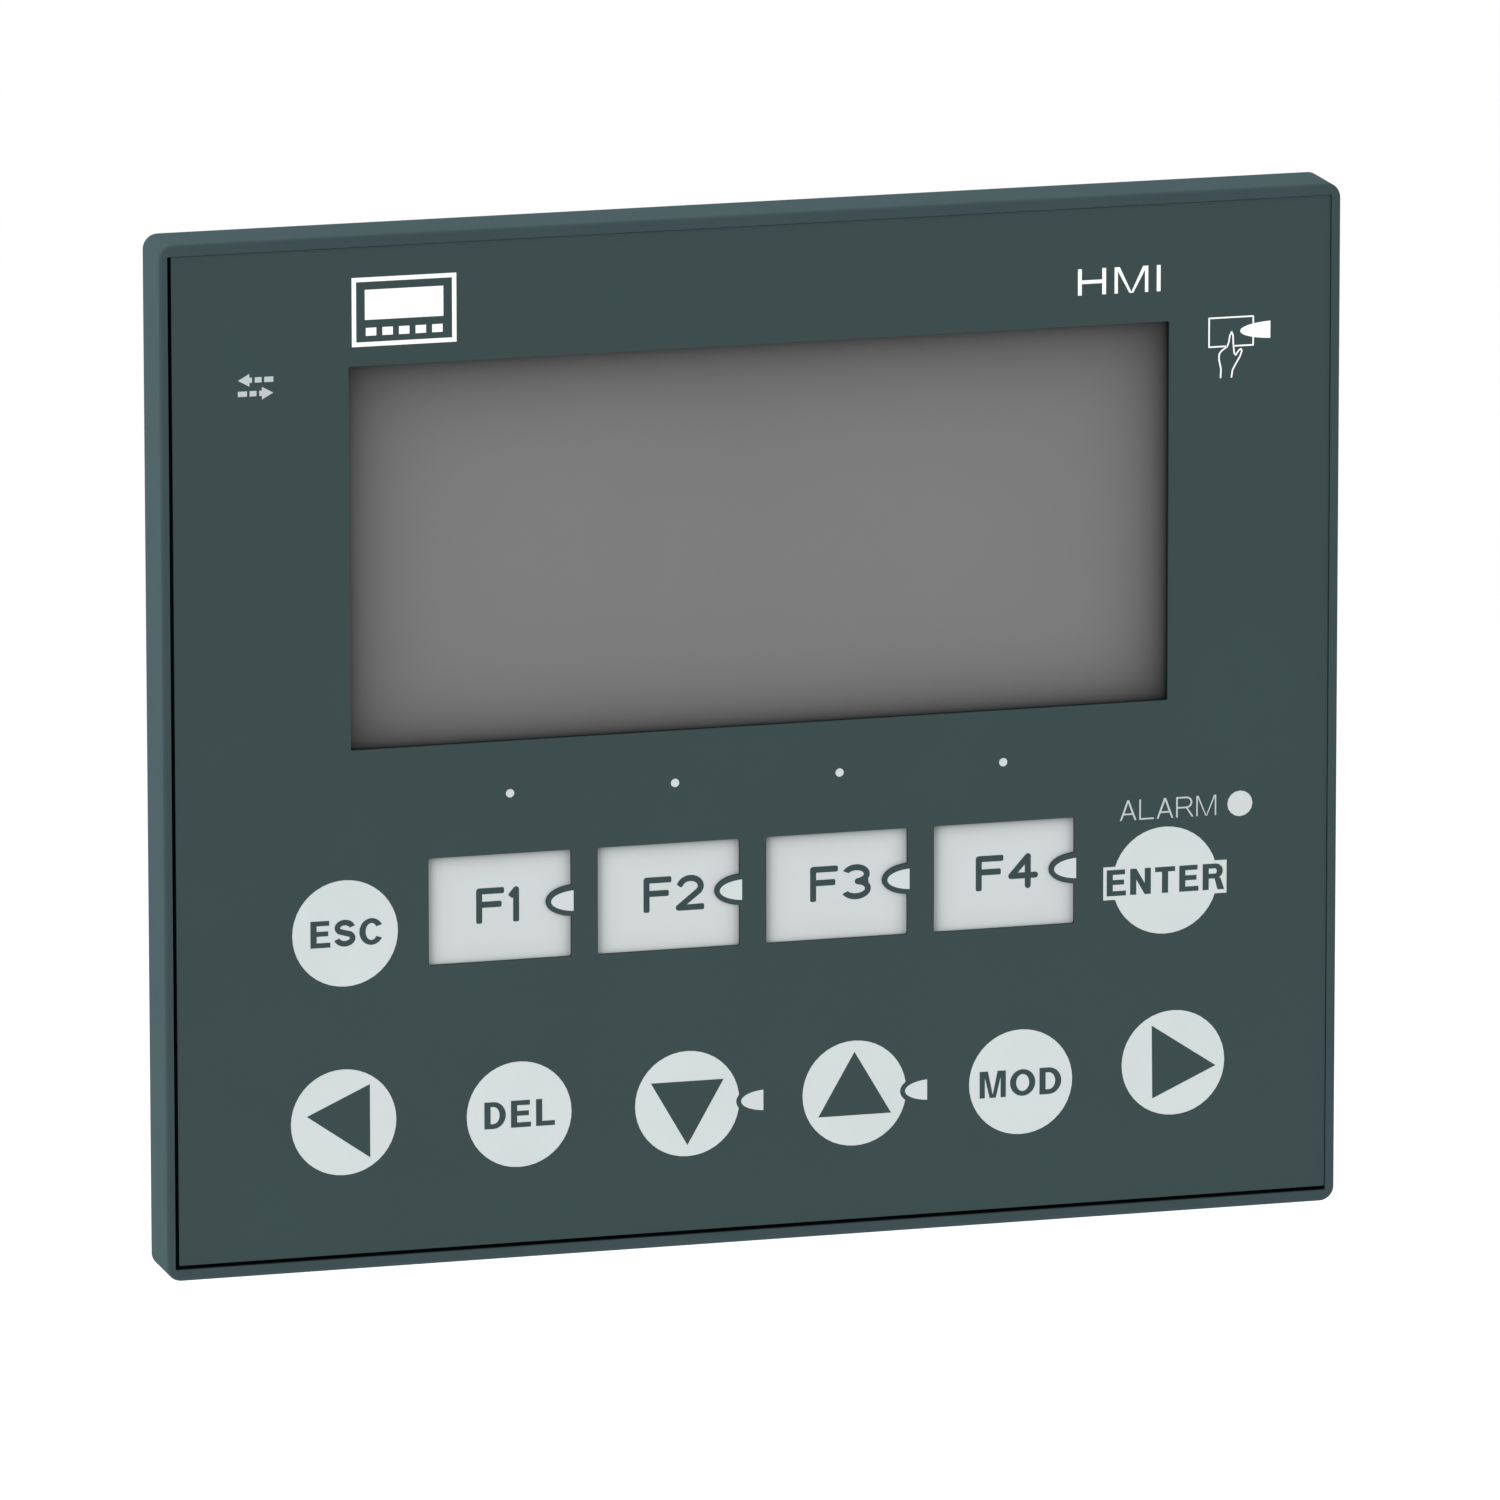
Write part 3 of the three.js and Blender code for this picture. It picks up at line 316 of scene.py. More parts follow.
def grained(name, colour, roughness, vary=0.05, cloud=90, grain=5200, relief=0.012, gloss=0.18,
            edge=0.0, edge_radius=0.25, gap=None):
    """A moulded or painted surface: faint clouds of colour, a fine grain, edges lifted as wear and as a
    painted highlight, and painted shade in its gaps.
    """
    n = Nodes(name)
    clouds = n.noise(cloud)
    base = n.drift(clouds, colour, 1 - vary, 1 + vary)
    speck = n.noise(grain, detail=2.0)
    base = n.mix(n.remap(speck, *GRAIN_RANGE, 0.0, 0.5 * vary), base, scaled(colour, GRAIN_SHADE))
    # Edges are lifted, partly as wear and partly as a painted highlight.
    if edge:
        mask = n.math("MULTIPLY", n.edge_mask(edge_radius * MM), edge, clamp=True)
        base = n.mix(mask, base, scaled(colour, 1 + EDGE_WEAR_AND_HIGHLIGHT * edge))
    # Painted shade: the colour darkens with depth inside the narrow gap at the front.
    if gap:
        base = n.mix(1.0, base, n.grey(gap_shade(n, *gap)), blend="MULTIPLY")
    n.link(base, n.shader.inputs["Base Color"])
    rough = n.spread(clouds, roughness - ROUGHNESS_DRIFT, roughness + ROUGHNESS_DRIFT)
    n.link(rough, n.shader.inputs["Roughness"])
    n.set(Specular_IOR_Level=gloss)
    n.bump(speck, 0.35, relief * MM)
    return n.material


def window_gaps(n, place, window):
    """How far a place lies inside each edge of a window, in millimetres."""
    left, right, bottom, top = window
    edges = (("X", left, 1), ("X", right, -1), ("Z", bottom, 1), ("Z", top, -1))
    return [
        n.math("MULTIPLY", n.math("SUBTRACT", place.outputs[axis], edge), inward / MM)
        for axis, edge, inward in edges
    ]


def split_place(n):
    place = n.add("ShaderNodeSeparateXYZ")
    n.link(n.object_coords(), place.inputs[0])
    return place


def gap_shade(n, front, depth, left_over, window):
    """Painted shade: how much light is left in a narrow gap, falling with the depth behind a front, inside
    a window.
    """
    place = split_place(n)
    lost = n.remap(place.outputs["Y"], front, front + depth * MM, 0.0, 1.0 - left_over)
    lost = n.math("MULTIPLY", lost, n.math("LESS_THAN", place.outputs["Y"], front + GAP_END))
    for gap in window_gaps(n, place, window):
        lost = n.math("MULTIPLY", lost, n.math("GREATER_THAN", gap, 0.0))
    return n.math("SUBTRACT", 1.0, lost)


def recess_shade(n, window, shades):
    """Painted shade: how much light is left near the edges of a recess, each edge taking its share, fading
    inwards.
    """
    product = None
    for gap, (share, reach, full) in zip(window_gaps(n, split_place(n), window), shades):
        past = n.math("MAXIMUM", n.math("SUBTRACT", gap, full), 0.0)
        fade = n.math("EXPONENT", n.math("MULTIPLY", past, -1 / reach))
        light = n.math("SUBTRACT", 1.0, n.math("MULTIPLY", fade, share), clamp=True)
        product = light if product is None else n.math("MULTIPLY", product, light)
    return product


def shaded_panel(name, colour, window, shades, roughness, gloss=0.2, vary=0.02, cloud=40):
    """A recessed sheet with painted shade that darkens it softly towards the edges of its window."""
    n = Nodes(name)
    shade = recess_shade(n, window, shades)
    clouds = n.noise(cloud)
    base = n.drift(clouds, colour, 1 - vary, 1 + vary)
    # Painted shade towards the window's edges, multiplied into the colour.
    base = n.mix(1.0, base, n.grey(shade), blend="MULTIPLY")
    n.link(base, n.shader.inputs["Base Color"])
    n.set(Roughness=roughness, Specular_IOR_Level=gloss)
    n.bump(n.noise(9000, detail=2.0), 0.2, 0.004 * MM)
    return n.material


def zinc(name, colour, roughness, along=(1, 1, 1)):
    """Plated sheet metal: a fine directional brush and cloudy passivation."""
    n = Nodes(name)
    coords = n.object_coords()
    stretch = n.add("ShaderNodeMapping")
    n.link(coords, stretch.inputs["Vector"])
    stretch.inputs["Scale"].default_value = along
    brush = n.noise(900, detail=3.0, coords=stretch.outputs["Vector"])
    clouds = n.noise(160)
    base = n.drift(clouds, colour, 0.86, 1.06)
    base = n.mix(n.spread(brush, 0.0, 0.25), base, scaled(colour, 0.7))
    n.link(base, n.shader.inputs["Base Color"])
    n.link(n.spread(brush, roughness - 0.08, roughness + 0.1), n.shader.inputs["Roughness"])
    n.set(Metallic=1.0)
    n.bump(brush, 0.25, 0.01 * MM)
    return n.material


def laminate(name):
    """Green solder mask over a faint grid of copper tracks."""
    n = Nodes(name)
    mask = linear(20, 78, 46)
    track = linear(34, 104, 62)
    brick = n.add("ShaderNodeTexBrick")
    turn = n.add("ShaderNodeMapping")
    n.link(n.object_coords(), turn.inputs["Vector"])
    turn.inputs["Rotation"].default_value = (math.radians(90), 0, 0)
    n.link(turn.outputs["Vector"], brick.inputs["Vector"])
    brick.inputs["Scale"].default_value = 260
    brick.inputs["Mortar Size"].default_value = 0.03
    brick.inputs["Color1"].default_value = mask
    brick.inputs["Color2"].default_value = scaled(mask, 1.12)
    brick.inputs["Mortar"].default_value = track
    n.link(brick.outputs["Color"], n.shader.inputs["Base Color"])
    n.link(n.spread(n.noise(300), 0.3, 0.45), n.shader.inputs["Roughness"])
    n.bump(brick.outputs["Fac"], 0.3, 0.02 * MM)
    return n.material


PETROL = linear(49, 67, 68)
MATT_PETROL = linear(60, 75, 78)
LIGHT_GREY = linear(202, 209, 209)
PAD_GREY = linear(199, 205, 205)
SCREEN_GREY = linear(116, 116, 116)

# The painted shade in the narrow gap around the foil, as the rim's wall and as the foil's edge: where it
# starts, its depth in millimetres, the share of light left at its bottom and the window that it lies in.
RIM_WIDTH = 0.8
FOIL_SKIN = 0.06
RIM_WINDOW = window_of("front_bezel", RIM_WIDTH)
RIM_GAP_SHADE = (front_of("front_bezel"), 0.65, 0.06, RIM_WINDOW)
FOIL_GAP_SHADE = (front_of("front_overlay") + FOIL_SKIN * MM, 0.45, 0.08, RIM_WINDOW)

BEZEL = grained("bezel_plastic", MATT_PETROL, 0.5, vary=0.03, grain=4200, relief=0.02, gloss=0.0,
                gap=RIM_GAP_SHADE)
FOIL = grained("overlay_foil", PETROL, 0.55, vary=0.03, cloud=55, grain=6500, relief=0.008, gap=FOIL_GAP_SHADE)
KEY_GREY = grained("key_print", LIGHT_GREY, 0.6, vary=0.02, grain=7000, relief=0.006)
DARK_INK = grained("dark_ink", PETROL, 0.6, vary=0.03, relief=0.004)
LIGHT_INK = grained("light_ink", LIGHT_GREY, 0.6, vary=0.02, relief=0.004)
WHITE_INK = grained("white_ink", linear(252, 253, 253), 0.55, vary=0.01, relief=0.004)
FAINT_INK = grained("faint_ink", linear(186, 194, 194), 0.6, vary=0.04, relief=0.004)
HOUSING = grained("housing_plastic", linear(43, 47, 49), 0.55, vary=0.07, grain=2600, relief=0.05, edge=0.2)
RUBBER = grained("gasket_rubber", linear(27, 28, 29), 0.8, vary=0.1, grain=3000, relief=0.03)
SILICONE = grained("dome_silicone", linear(150, 154, 152), 0.6, vary=0.05)
CHIP = grained("chip_epoxy", linear(24, 25, 27), 0.45, vary=0.1, grain=3000)
SLEEVE = grained("capacitor_sleeve", linear(40, 46, 58), 0.35, vary=0.06)
CONTACTS = grained("contact_plastic", linear(24, 25, 26), 0.5, vary=0.08, edge=0.2)
TERMINAL = grained("terminal_polyamide", linear(36, 104, 60), 0.45, vary=0.06, edge=0.2)
LABEL = grained("blank_label", linear(158, 161, 160), 0.5, vary=0.02, grain=5000)
DIFFUSER = grained("light_guide", linear(228, 232, 232), 0.3, vary=0.02)
PIPE = grained("light_pipe", linear(199, 206, 206), 0.3, vary=0.03, gloss=0.4)
STEEL = zinc("zinc_steel", linear(156, 159, 162), 0.36, along=(1, 8, 1))
TIN = zinc("tin_shell", linear(148, 151, 154), 0.34, along=(8, 1, 1))
BOARD = laminate("board_laminate")

# ---------------------------------------------------------------- pieces made from the frame

# Angles in degrees: faces that meet at less than the first are shaded smooth, and faces within the
# second of each other are joined.
SMOOTH_BELOW = 35
FLAT_WITHIN = 0.6
MERGE_DISTANCE = 0.0002 * MM

# How far a key pad's walls move out, the share of its depth that moves and the least share of a
# wall's own direction in a corner's move.
PAD_GROWTH = 0.1
PAD_FRONT = 0.45
CORNER_SHARE = 0.5


def smooth(mesh):
    mesh.polygons.foreach_set("use_smooth", [True] * len(mesh.polygons))
    mesh.set_sharp_from_angle(angle=math.radians(SMOOTH_BELOW))


def widen_pad(work, growth):
    """Moves a key pad's side walls outwards, in front of its flange, so that it fills its opening."""
    back = max(v.co.y for v in work.verts)
    front = min(v.co.y for v in work.verts)
    limit = front + PAD_FRONT * (back - front)
    moves = {}
    for vert in work.verts:
        if vert.co.y > limit:
            continue
        walls = [face.normal for face in vert.link_faces if abs(face.normal.y) < 0.5]
        normals = {tuple(round(part, 3) for part in wall) for wall in walls}
        push = Vector((0, 0, 0))
        for normal in normals:
            push += Vector(normal)
        if push.length > 0:
            push.normalize()
            facing = max(CORNER_SHARE, max(push.dot(Vector(normal)) for normal in normals))
            moves[vert] = push * (growth * MM / facing)
    for vert, push in moves.items():
        vert.co += push


def dressed(node, material, edge=0.1, segments=2, sharp=32, grow=0.0):
    """A fine piece in place of a CAD node: its own faces with rounded edges and smooth curves."""
    mesh = NODES[node].data.copy()
    mesh.name = node + "_fine"
    work = bmesh.new()
    work.from_mesh(mesh)
    bmesh.ops.remove_doubles(work, verts=work.verts, dist=MERGE_DISTANCE)
    bmesh.ops.dissolve_limit(
        work, angle_limit=math.radians(FLAT_WITHIN), verts=work.verts, edges=work.edges)
    if grow:
        work.normal_update()
        widen_pad(work, grow)
    if edge:
        limit = math.radians(sharp)
        edges = [e for e in work.edges if e.is_manifold and e.calc_face_angle() > limit]
        bmesh.ops.bevel(work, geom=edges, offset=edge * MM, offset_type="OFFSET", segments=segments,
                        profile=0.5, affect="EDGES", clamp_overlap=False)
    bmesh.ops.recalc_face_normals(work, faces=work.faces)
    work.to_mesh(mesh)
    work.free()
    mesh.materials.clear()
    mesh.materials.append(material)
    smooth(mesh)
    piece = bpy.data.objects.new(node + "_fine", mesh)
    bpy.context.scene.collection.objects.link(piece)
    weighted = piece.modifiers.new("weighted", "WEIGHTED_NORMAL")
    weighted.keep_sharp = True
    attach(piece, NODES[node]["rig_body"])
    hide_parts(node)


def repaint(node, material):
    """A CAD node kept as it is, with a finished material."""
    slots = NODES[node].data.materials
    slots.clear()
    slots.append(material)


# ---------------------------------------------------------------- printed marks

# How far print stands proud of its face and how far it reaches into it.
PRINT = 0.015
PRINT_SINK = 0.002
ARC_STEPS = 14

# A pen stroke: the sine of a turn above which its outer corner is an arc, the share that bounds the
# mitre of any other corner, and the share of the half width that is rounded at a blunt end.
SHARP_TURN = 0.3
MITRE_SHARE = 0.35
END_ROUNDING = 0.55
CORNER_STEPS = 5
END_STEPS = 4


def print_mesh(name, shapes, y_face):
    """Thin printed shapes on a face at that depth; each shape is an outline and its holes, in X and Z."""
    verts = []
    faces = []
    front = (y_face - PRINT) * MM
    back = (y_face + PRINT_SINK) * MM
    for shape in shapes:
        flat = [[Vector((x, z, 0)) for x, z in loop] for loop in shape]
        first = len(verts)
        points = [point for loop in shape for point in loop]
        count = len(points)
        verts.extend((x * MM, front, z * MM) for x, z in points)
        verts.extend((x * MM, back, z * MM) for x, z in points)
        for triangle in tessellate_polygon(flat):
            faces.append([first + i for i in triangle])
            faces.append([first + count + i for i in reversed(triangle)])
        start = first
        for loop in shape:
            size = len(loop)
            for i in range(size):
                a = start + i
                b = start + (i + 1) % size
                faces.append([a, b, b + count, a + count])
            start += size
    mesh = bpy.data.meshes.new(name)
    mesh.from_pydata(verts, [], faces)
    work = bmesh.new()
    work.from_mesh(mesh)
    bmesh.ops.recalc_face_normals(work, faces=work.faces)
    work.to_mesh(mesh)
    work.free()
    return mesh


def add_print(name, shapes, material, body, y_face):
    mesh = print_mesh(name, shapes, y_face)
    mesh.materials.append(material)
    piece = bpy.data.objects.new(name, mesh)
    bpy.context.scene.collection.objects.link(piece)
    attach(piece, body)


def box_loop(left, right, bottom, top):
    return [(left, bottom), (right, bottom), (right, top), (left, top)]


def arc(x, z, radius_x, radius_z, start, end, steps=ARC_STEPS):
    """Points on an ellipse from one angle to another, in degrees."""
    points = []
    for i in range(steps + 1):
        angle = math.radians(start + (end - start) * i / steps)
        points.append((x + radius_x * math.cos(angle), z + radius_z * math.sin(angle)))
    return points


def direction(start, end):
    """The unit vector from one point to another."""
    gap_x = end[0] - start[0]
    gap_z = end[1] - start[1]
    size = math.hypot(gap_x, gap_z)
    return (gap_x / size, gap_z / size)


def stroke(path, width, cap_start=True, cap_end=True):
    """The outline of a pen stroke along a path, with blunt caps or flat ends."""
    half = width / 2
    forward = side_points(path, half, cap_end)
    backward = side_points(list(reversed(path)), half, cap_start)
    return forward + backward


def corner_points(x, z, half, before, after):
    """The right side of a stroke at a corner: an arc outside a sharp turn, or else a mitre."""
    turn = before[0] * after[1] - before[1] * after[0]
    if turn > SHARP_TURN:
        start = math.degrees(math.atan2(-before[0], before[1]))
        sweep = math.degrees(math.atan2(turn, before[0] * after[0] + before[1] * after[1]))
        return arc(x, z, half, half, start, start + sweep, CORNER_STEPS)
    middle = (before[0] + after[0], before[1] + after[1])
    size = math.hypot(*middle)
    middle = (middle[0] / size, middle[1] / size)
    reach = half / max(MITRE_SHARE, middle[0] * before[0] + middle[1] * before[1])
    return [(x + middle[1] * reach, z - middle[0] * reach)]


def side_points(path, half, capped):
    """One side of a stroke, to the right of its path, and the cap at its end."""
    points = []
    for i, (x, z) in enumerate(path):
        before = direction(path[i - 1], path[i]) if i > 0 else None
        after = direction(path[i], path[i + 1]) if i < len(path) - 1 else None
        if before and after:
            points += corner_points(x, z, half, before, after)
        else:
            ahead = before or after
            points.append((x + ahead[1] * half, z - ahead[0] * half))
    if capped:
        x, z = path[-1]
        last = direction(path[-2], path[-1])
        start = math.degrees(math.atan2(-last[0], last[1]))
        points += blunt_end(x, z, half, start)
    return points


def blunt_end(x, z, half, start):
    """A square pen end with rounded corners, from the right side of the stroke to its left side."""
    corner = half * END_ROUNDING
    inner = half - corner
    points = []
    for turn, across in ((0, 1), (90, -1)):
        side = math.radians(start)
        ahead = math.radians(start + 90)
        corner_x = x + inner * (across * math.cos(side) + math.cos(ahead))
        corner_z = z + inner * (across * math.sin(side) + math.sin(ahead))
        points += arc(corner_x, corner_z, corner, corner, start + turn, start + turn + 90, END_STEPS)
    return points


# ---------------------------------------------------------------- lettering

# Each glyph fills a box of left, right, bottom and top with upright strokes of one weight and
# level strokes of another, and returns a list of shapes.

# The letter C stops this many degrees from level, and its inner side this many more.
C_OPENING = 30
C_TAPER = 4


def glyph_a(left, right, bottom, top, stem, bar):
    middle = (left + right) / 2
    slant = stem * 1.06
    peak = slant * 0.55
    rise = (top - bottom) / (middle - left)
    low = bottom + 0.27 * (top - bottom)
    outer = [
        (left, bottom), (left + slant, bottom),
        (left + slant + (low - bottom) / rise, low), (right - slant - (low - bottom) / rise, low),
        (right - slant, bottom), (right, bottom), (middle + peak, top), (middle - peak, top),
    ]
    high = low + bar
    inner = [
        (left + slant + (high - bottom) / rise, high),
        (middle, top - stem * 1.6),
        (right - slant - (high - bottom) / rise, high),
    ]
    return [[outer, inner]]


def glyph_c(left, right, bottom, top, stem, bar):
    z = (bottom + top) / 2
    rx = (right - left) / (1 + math.cos(math.radians(C_OPENING)))
    rz = (top - bottom) / 2
    x = left + rx
    outer = arc(x, z, rx, rz, C_OPENING, 360 - C_OPENING, 30)
    near = C_OPENING + C_TAPER
    inner = arc(x, z, rx - stem, rz - bar, 360 - near, near, 30)
    return [[outer + inner]]


def glyph_d(left, right, bottom, top, stem, bar):
    z = (bottom + top) / 2
    rz = (top - bottom) / 2
    turn = left + 0.42 * (right - left)
    outer = [(left, bottom)] + arc(turn, z, right - turn, rz, -90, 90, 20) + [(left, top)]
    start = left + stem
    bowl = arc(turn, z, right - turn - stem, rz - bar, -90, 90, 20)
    return [[outer, [(start, bottom + bar)] + bowl + [(start, top - bar)]]]


def glyph_e(left, right, bottom, top, stem, bar):
    middle = bottom + 0.52 * (top - bottom)
    start = left + stem
    short = right - 0.05 * (right - left)
    inner = right - 0.1 * (right - left)
    return [[[
        (left, bottom), (right, bottom), (right, bottom + bar), (start, bottom + bar),
        (start, middle - bar / 2), (inner, middle - bar / 2), (inner, middle + bar / 2),
        (start, middle + bar / 2), (start, top - bar), (short, top - bar), (short, top), (left, top),
    ]]]


def glyph_h(left, right, bottom, top, stem, bar):
    middle = (bottom + top) / 2
    return [[[
        (left, bottom), (left + stem, bottom), (left + stem, middle - bar / 2),
        (right - stem, middle - bar / 2), (right - stem, bottom), (right, bottom), (right, top),
        (right - stem, top), (right - stem, middle + bar / 2), (left + stem, middle + bar / 2),
        (left + stem, top), (left, top),
    ]]]


def glyph_i(left, right, bottom, top, stem, bar):
    return [[box_loop(left, right, bottom, top)]]


def glyph_l(left, right, bottom, top, stem, bar):
    start = left + stem
    return [[[
        (left, bottom), (right, bottom), (right, bottom + bar), (start, bottom + bar), (start, top),
        (left, top),
    ]]]


def glyph_m(left, right, bottom, top, stem, bar):
    middle = (left + right) / 2
    foot = stem * 0.5
    shoulder = stem * 1.35
    rise = (top - bottom) / (middle - foot - left - stem * 0.75)
    return [[[
        (left, bottom), (left + stem * 0.85, bottom), (left + stem * 0.85, top - stem),
        (middle - foot, bottom), (middle + foot, bottom), (right - stem * 0.85, top - stem),
        (right - stem * 0.85, bottom), (right, bottom), (right, top), (right - shoulder, top),
        (middle, top - (middle - left - shoulder) * rise), (left + shoulder, top), (left, top),
    ]]]


def glyph_n(left, right, bottom, top, stem, bar):
    reach = 0.42 * (top - bottom)
    return [[[
        (left, bottom), (left + stem, bottom), (left + stem, top - reach), (right - stem, bottom),
        (right, bottom), (right, top), (right - stem, top), (right - stem, bottom + reach),
        (left + stem, top), (left, top),
    ]]]


def glyph_o(left, right, bottom, top, stem, bar):
    x = (left + right) / 2
    z = (bottom + top) / 2
    rx = (right - left) / 2
    rz = (top - bottom) / 2
    outer = arc(x, z, rx, rz, 0, 350, 35)
    return [[outer, arc(x, z, rx - stem, rz - bar, 0, 350, 35)]]


def glyph_r(left, right, bottom, top, stem, bar):
    height = top - bottom
    waist = bottom + 0.43 * height
    z = (waist + top) / 2
    rz = (top - waist) / 2
    bowl_right = right - 0.07 * (right - left)
    turn = bowl_right - rz * 1.05
    start = left + stem
    leg = turn - stem * 0.1
    outer = [
        (left, bottom), (start, bottom), (start, waist), (leg, waist),
        (right - stem * 1.12, bottom), (right, bottom), (leg + stem * 0.95, waist + bar * 0.12),
    ]
    outer += arc(turn, z, bowl_right - turn, rz, -62, 90, 16) + [(left, top)]
    hole = [(start, waist + bar)] + arc(turn, z, bowl_right - turn - stem, rz - bar, -90, 90, 12)
    return [[outer, hole + [(start, top - bar)]]]


def glyph_s(left, right, bottom, top, stem, bar):
    x = (left + right) / 2
    width = (stem + bar) / 2
    half = width / 2
    middle = bottom + 0.51 * (top - bottom)
    high = (middle + top - half) / 2
    low = (middle + bottom + half) / 2
    rx = (right - left) / 2 - half
    upper = arc(x, high, rx * 0.94, top - half - high, 8, 225, 14)
    lower = arc(x, low, rx, low - bottom - half, 45, -172, 14)
    return [[stroke(upper + lower, width, False, False)]]


def glyph_t(left, right, bottom, top, stem, bar):
    middle = (left + right) / 2
    near = middle - stem / 2
    far = middle + stem / 2
    return [[[
        (near, bottom), (far, bottom), (far, top - bar), (right, top - bar), (right, top), (left, top),
        (left, top - bar), (near, top - bar),
    ]]]


GLYPHS = {
    "A": glyph_a, "C": glyph_c, "D": glyph_d, "E": glyph_e, "H": glyph_h, "I": glyph_i, "L": glyph_l,
    "M": glyph_m, "N": glyph_n, "O": glyph_o, "R": glyph_r, "S": glyph_s, "T": glyph_t,
}
GLYPH_WIDTH = {
    "A": 1.0, "C": 1.06, "D": 1.0, "E": 0.93, "H": 1.0, "I": 0.137, "L": 0.88, "M": 1.2, "N": 1.0,
    "O": 1.16, "R": 1.05, "S": 1.0, "T": 0.97,
}


def word_shapes(word, box, stem, bar, gap):
    """A word that fills a box of left, right, bottom and top, with that gap between its letters."""
    left, right, bottom, top = box
    widths = [GLYPH_WIDTH[letter] for letter in word]
    scale = (right - left - gap * (len(word) - 1)) / sum(widths)
    shapes = []
    for letter, width in zip(word, widths):
        end = left + width * scale
        shapes += GLYPHS[letter](left, end, bottom, top, stem, bar)
        left = end + gap
    return shapes


# ---------------------------------------------------------------- the front

# The width of what the foil hides around the touch glass and around each key pad.
TOUCH_BORDER = 2.2
KEY_FLANGE = 0.9

# How the painted shade darkens each recess towards its left, right, bottom and top edges: the share of
# light lost at the edge, the reach of the shade and the width of the full shade, in millimetres.
SCREEN_SHADE = ((0.70, 3.9, 0), (0.82, 3.5, 0), (0.71, 3.3, 0), (0.74, 4.3, 0))
PAD_SHADE = ((0.43, 0.58, 0.35), (0.29, 0.6, 0.4), (0.08, 1.15, 0), (0.52, 0.7, 0))
ROUND_KEYS = (
    "key_esc", "key_enter", "key_left", "key_del", "key_down", "key_up", "key_mod", "key_right",
)
FUNCTION_KEYS = ("key_f1", "key_f2", "key_f3", "key_f4")
PIPES = ("led_pipe_f1", "led_pipe_f2", "led_pipe_f3", "led_pipe_f4", "alarm_light_pipe")


def build_front():
    dressed("front_bezel", BEZEL, edge=0.06, sharp=40)
    dressed("front_overlay", FOIL, edge=0.03)
    screen = window_of("touch_panel", TOUCH_BORDER)
    glass = shaded_panel("screen_grey", SCREEN_GREY, screen, SCREEN_SHADE, 0.42)
    dressed("touch_panel", glass)
    for name in PIPES:
        dressed(name, PIPE, edge=0.05)
    for name in ROUND_KEYS:
        dressed(name, KEY_GREY, edge=0.03, grow=PAD_GROWTH)
    for name in FUNCTION_KEYS:
        window = window_of(name, KEY_FLANGE - PAD_GROWTH)
        pad = shaded_panel(name + "_pad", PAD_GREY, window, PAD_SHADE, 0.6)
        dressed(name, pad, edge=0.03, grow=PAD_GROWTH)


# ---------------------------------------------------------------- key legends

overlay_y = front_of("front_overlay") / MM
function_y = front_of("key_f1") / MM

# The function keys' legends: a stroke's width, the height, how far the foot lies under the key's
# middle, and where the letter and the digit start beside it.
LEGEND_WIDTH = 0.7
LEGEND_HALF = LEGEND_WIDTH / 2
LEGEND_HEIGHT = 4.05
LEGEND_DROP = 1.76
LETTER_WIDTH = 3.25
LETTER_START = {"key_f1": -2.72, "key_f2": -2.88, "key_f3": -3.07, "key_f4": -3.27}
DIGIT_START = {"key_f1": 1.15, "key_f2": 0.84, "key_f3": 0.72, "key_f4": 0.48}

# The round keys' legends, from each key's middle: triangles, and words with the box that each one
# fills and the gap between its letters.
WORD_STEM = 0.72
WORD_BAR = 0.56
TRIANGLES = {
    "key_left": [(-4.25, 0.9), (3.05, -4.25), (3.05, 4.2)],
    "key_down": [(-4.25, 2.6), (0, -4.8), (4.25, 2.6)],
    "key_up": [(-4.25, -2.55), (4.3, -2.55), (0, 4.8)],
    "key_right": [(-2.55, 4.45), (-2.45, -4.05), (5.05, -0.65)],
}
WORDS = {
    "key_esc": ("ESC", (-4.0, 4.25, -1.5, 1.57), 0.45),
    "key_enter": ("ENTER", (-6.9, 7.03, -1.47, 1.55), 0.5),
    "key_del": ("DEL", (-4.05, 4.15, -1.5, 1.6), 0.6),
    "key_mod": ("MOD", (-4.85, 4.8, -1.65, 1.45), 0.5),
}


def letter_f(x, z):
    """A capital F with its lower left corner at x, z."""
    left = x + LEGEND_HALF
    top = z + LEGEND_HEIGHT - LEGEND_HALF
    right = x + LETTER_WIDTH - LEGEND_HALF
    waist = z + 2.15
    spine = stroke([(right, top), (left, top), (left, z + LEGEND_HALF)], LEGEND_WIDTH)
    bar = stroke([(x + LEGEND_WIDTH, waist), (right - 0.3, waist)], LEGEND_WIDTH, cap_start=False)
    return [[spine], [bar]]


def digit_one(x, low, top):
    """The short flag and the stem, in one stroke."""
    stem = x + 0.76
    flag = (x + 0.3, top - 0.55)
    return [[stroke([flag, (stem, top), (stem, low)], LEGEND_WIDTH)]]


def digit_two(x, low, top):
    """A bowl, the slant down from it and the foot, in one stroke."""
    width = 1.22
    height = 0.95
    foot = [(x + 0.38, low), (x + 3.0, low)]
    bowl = arc(x + 1.74, top - height, width, height, 158, -38)
    return [[stroke(bowl + foot, LEGEND_WIDTH)]]


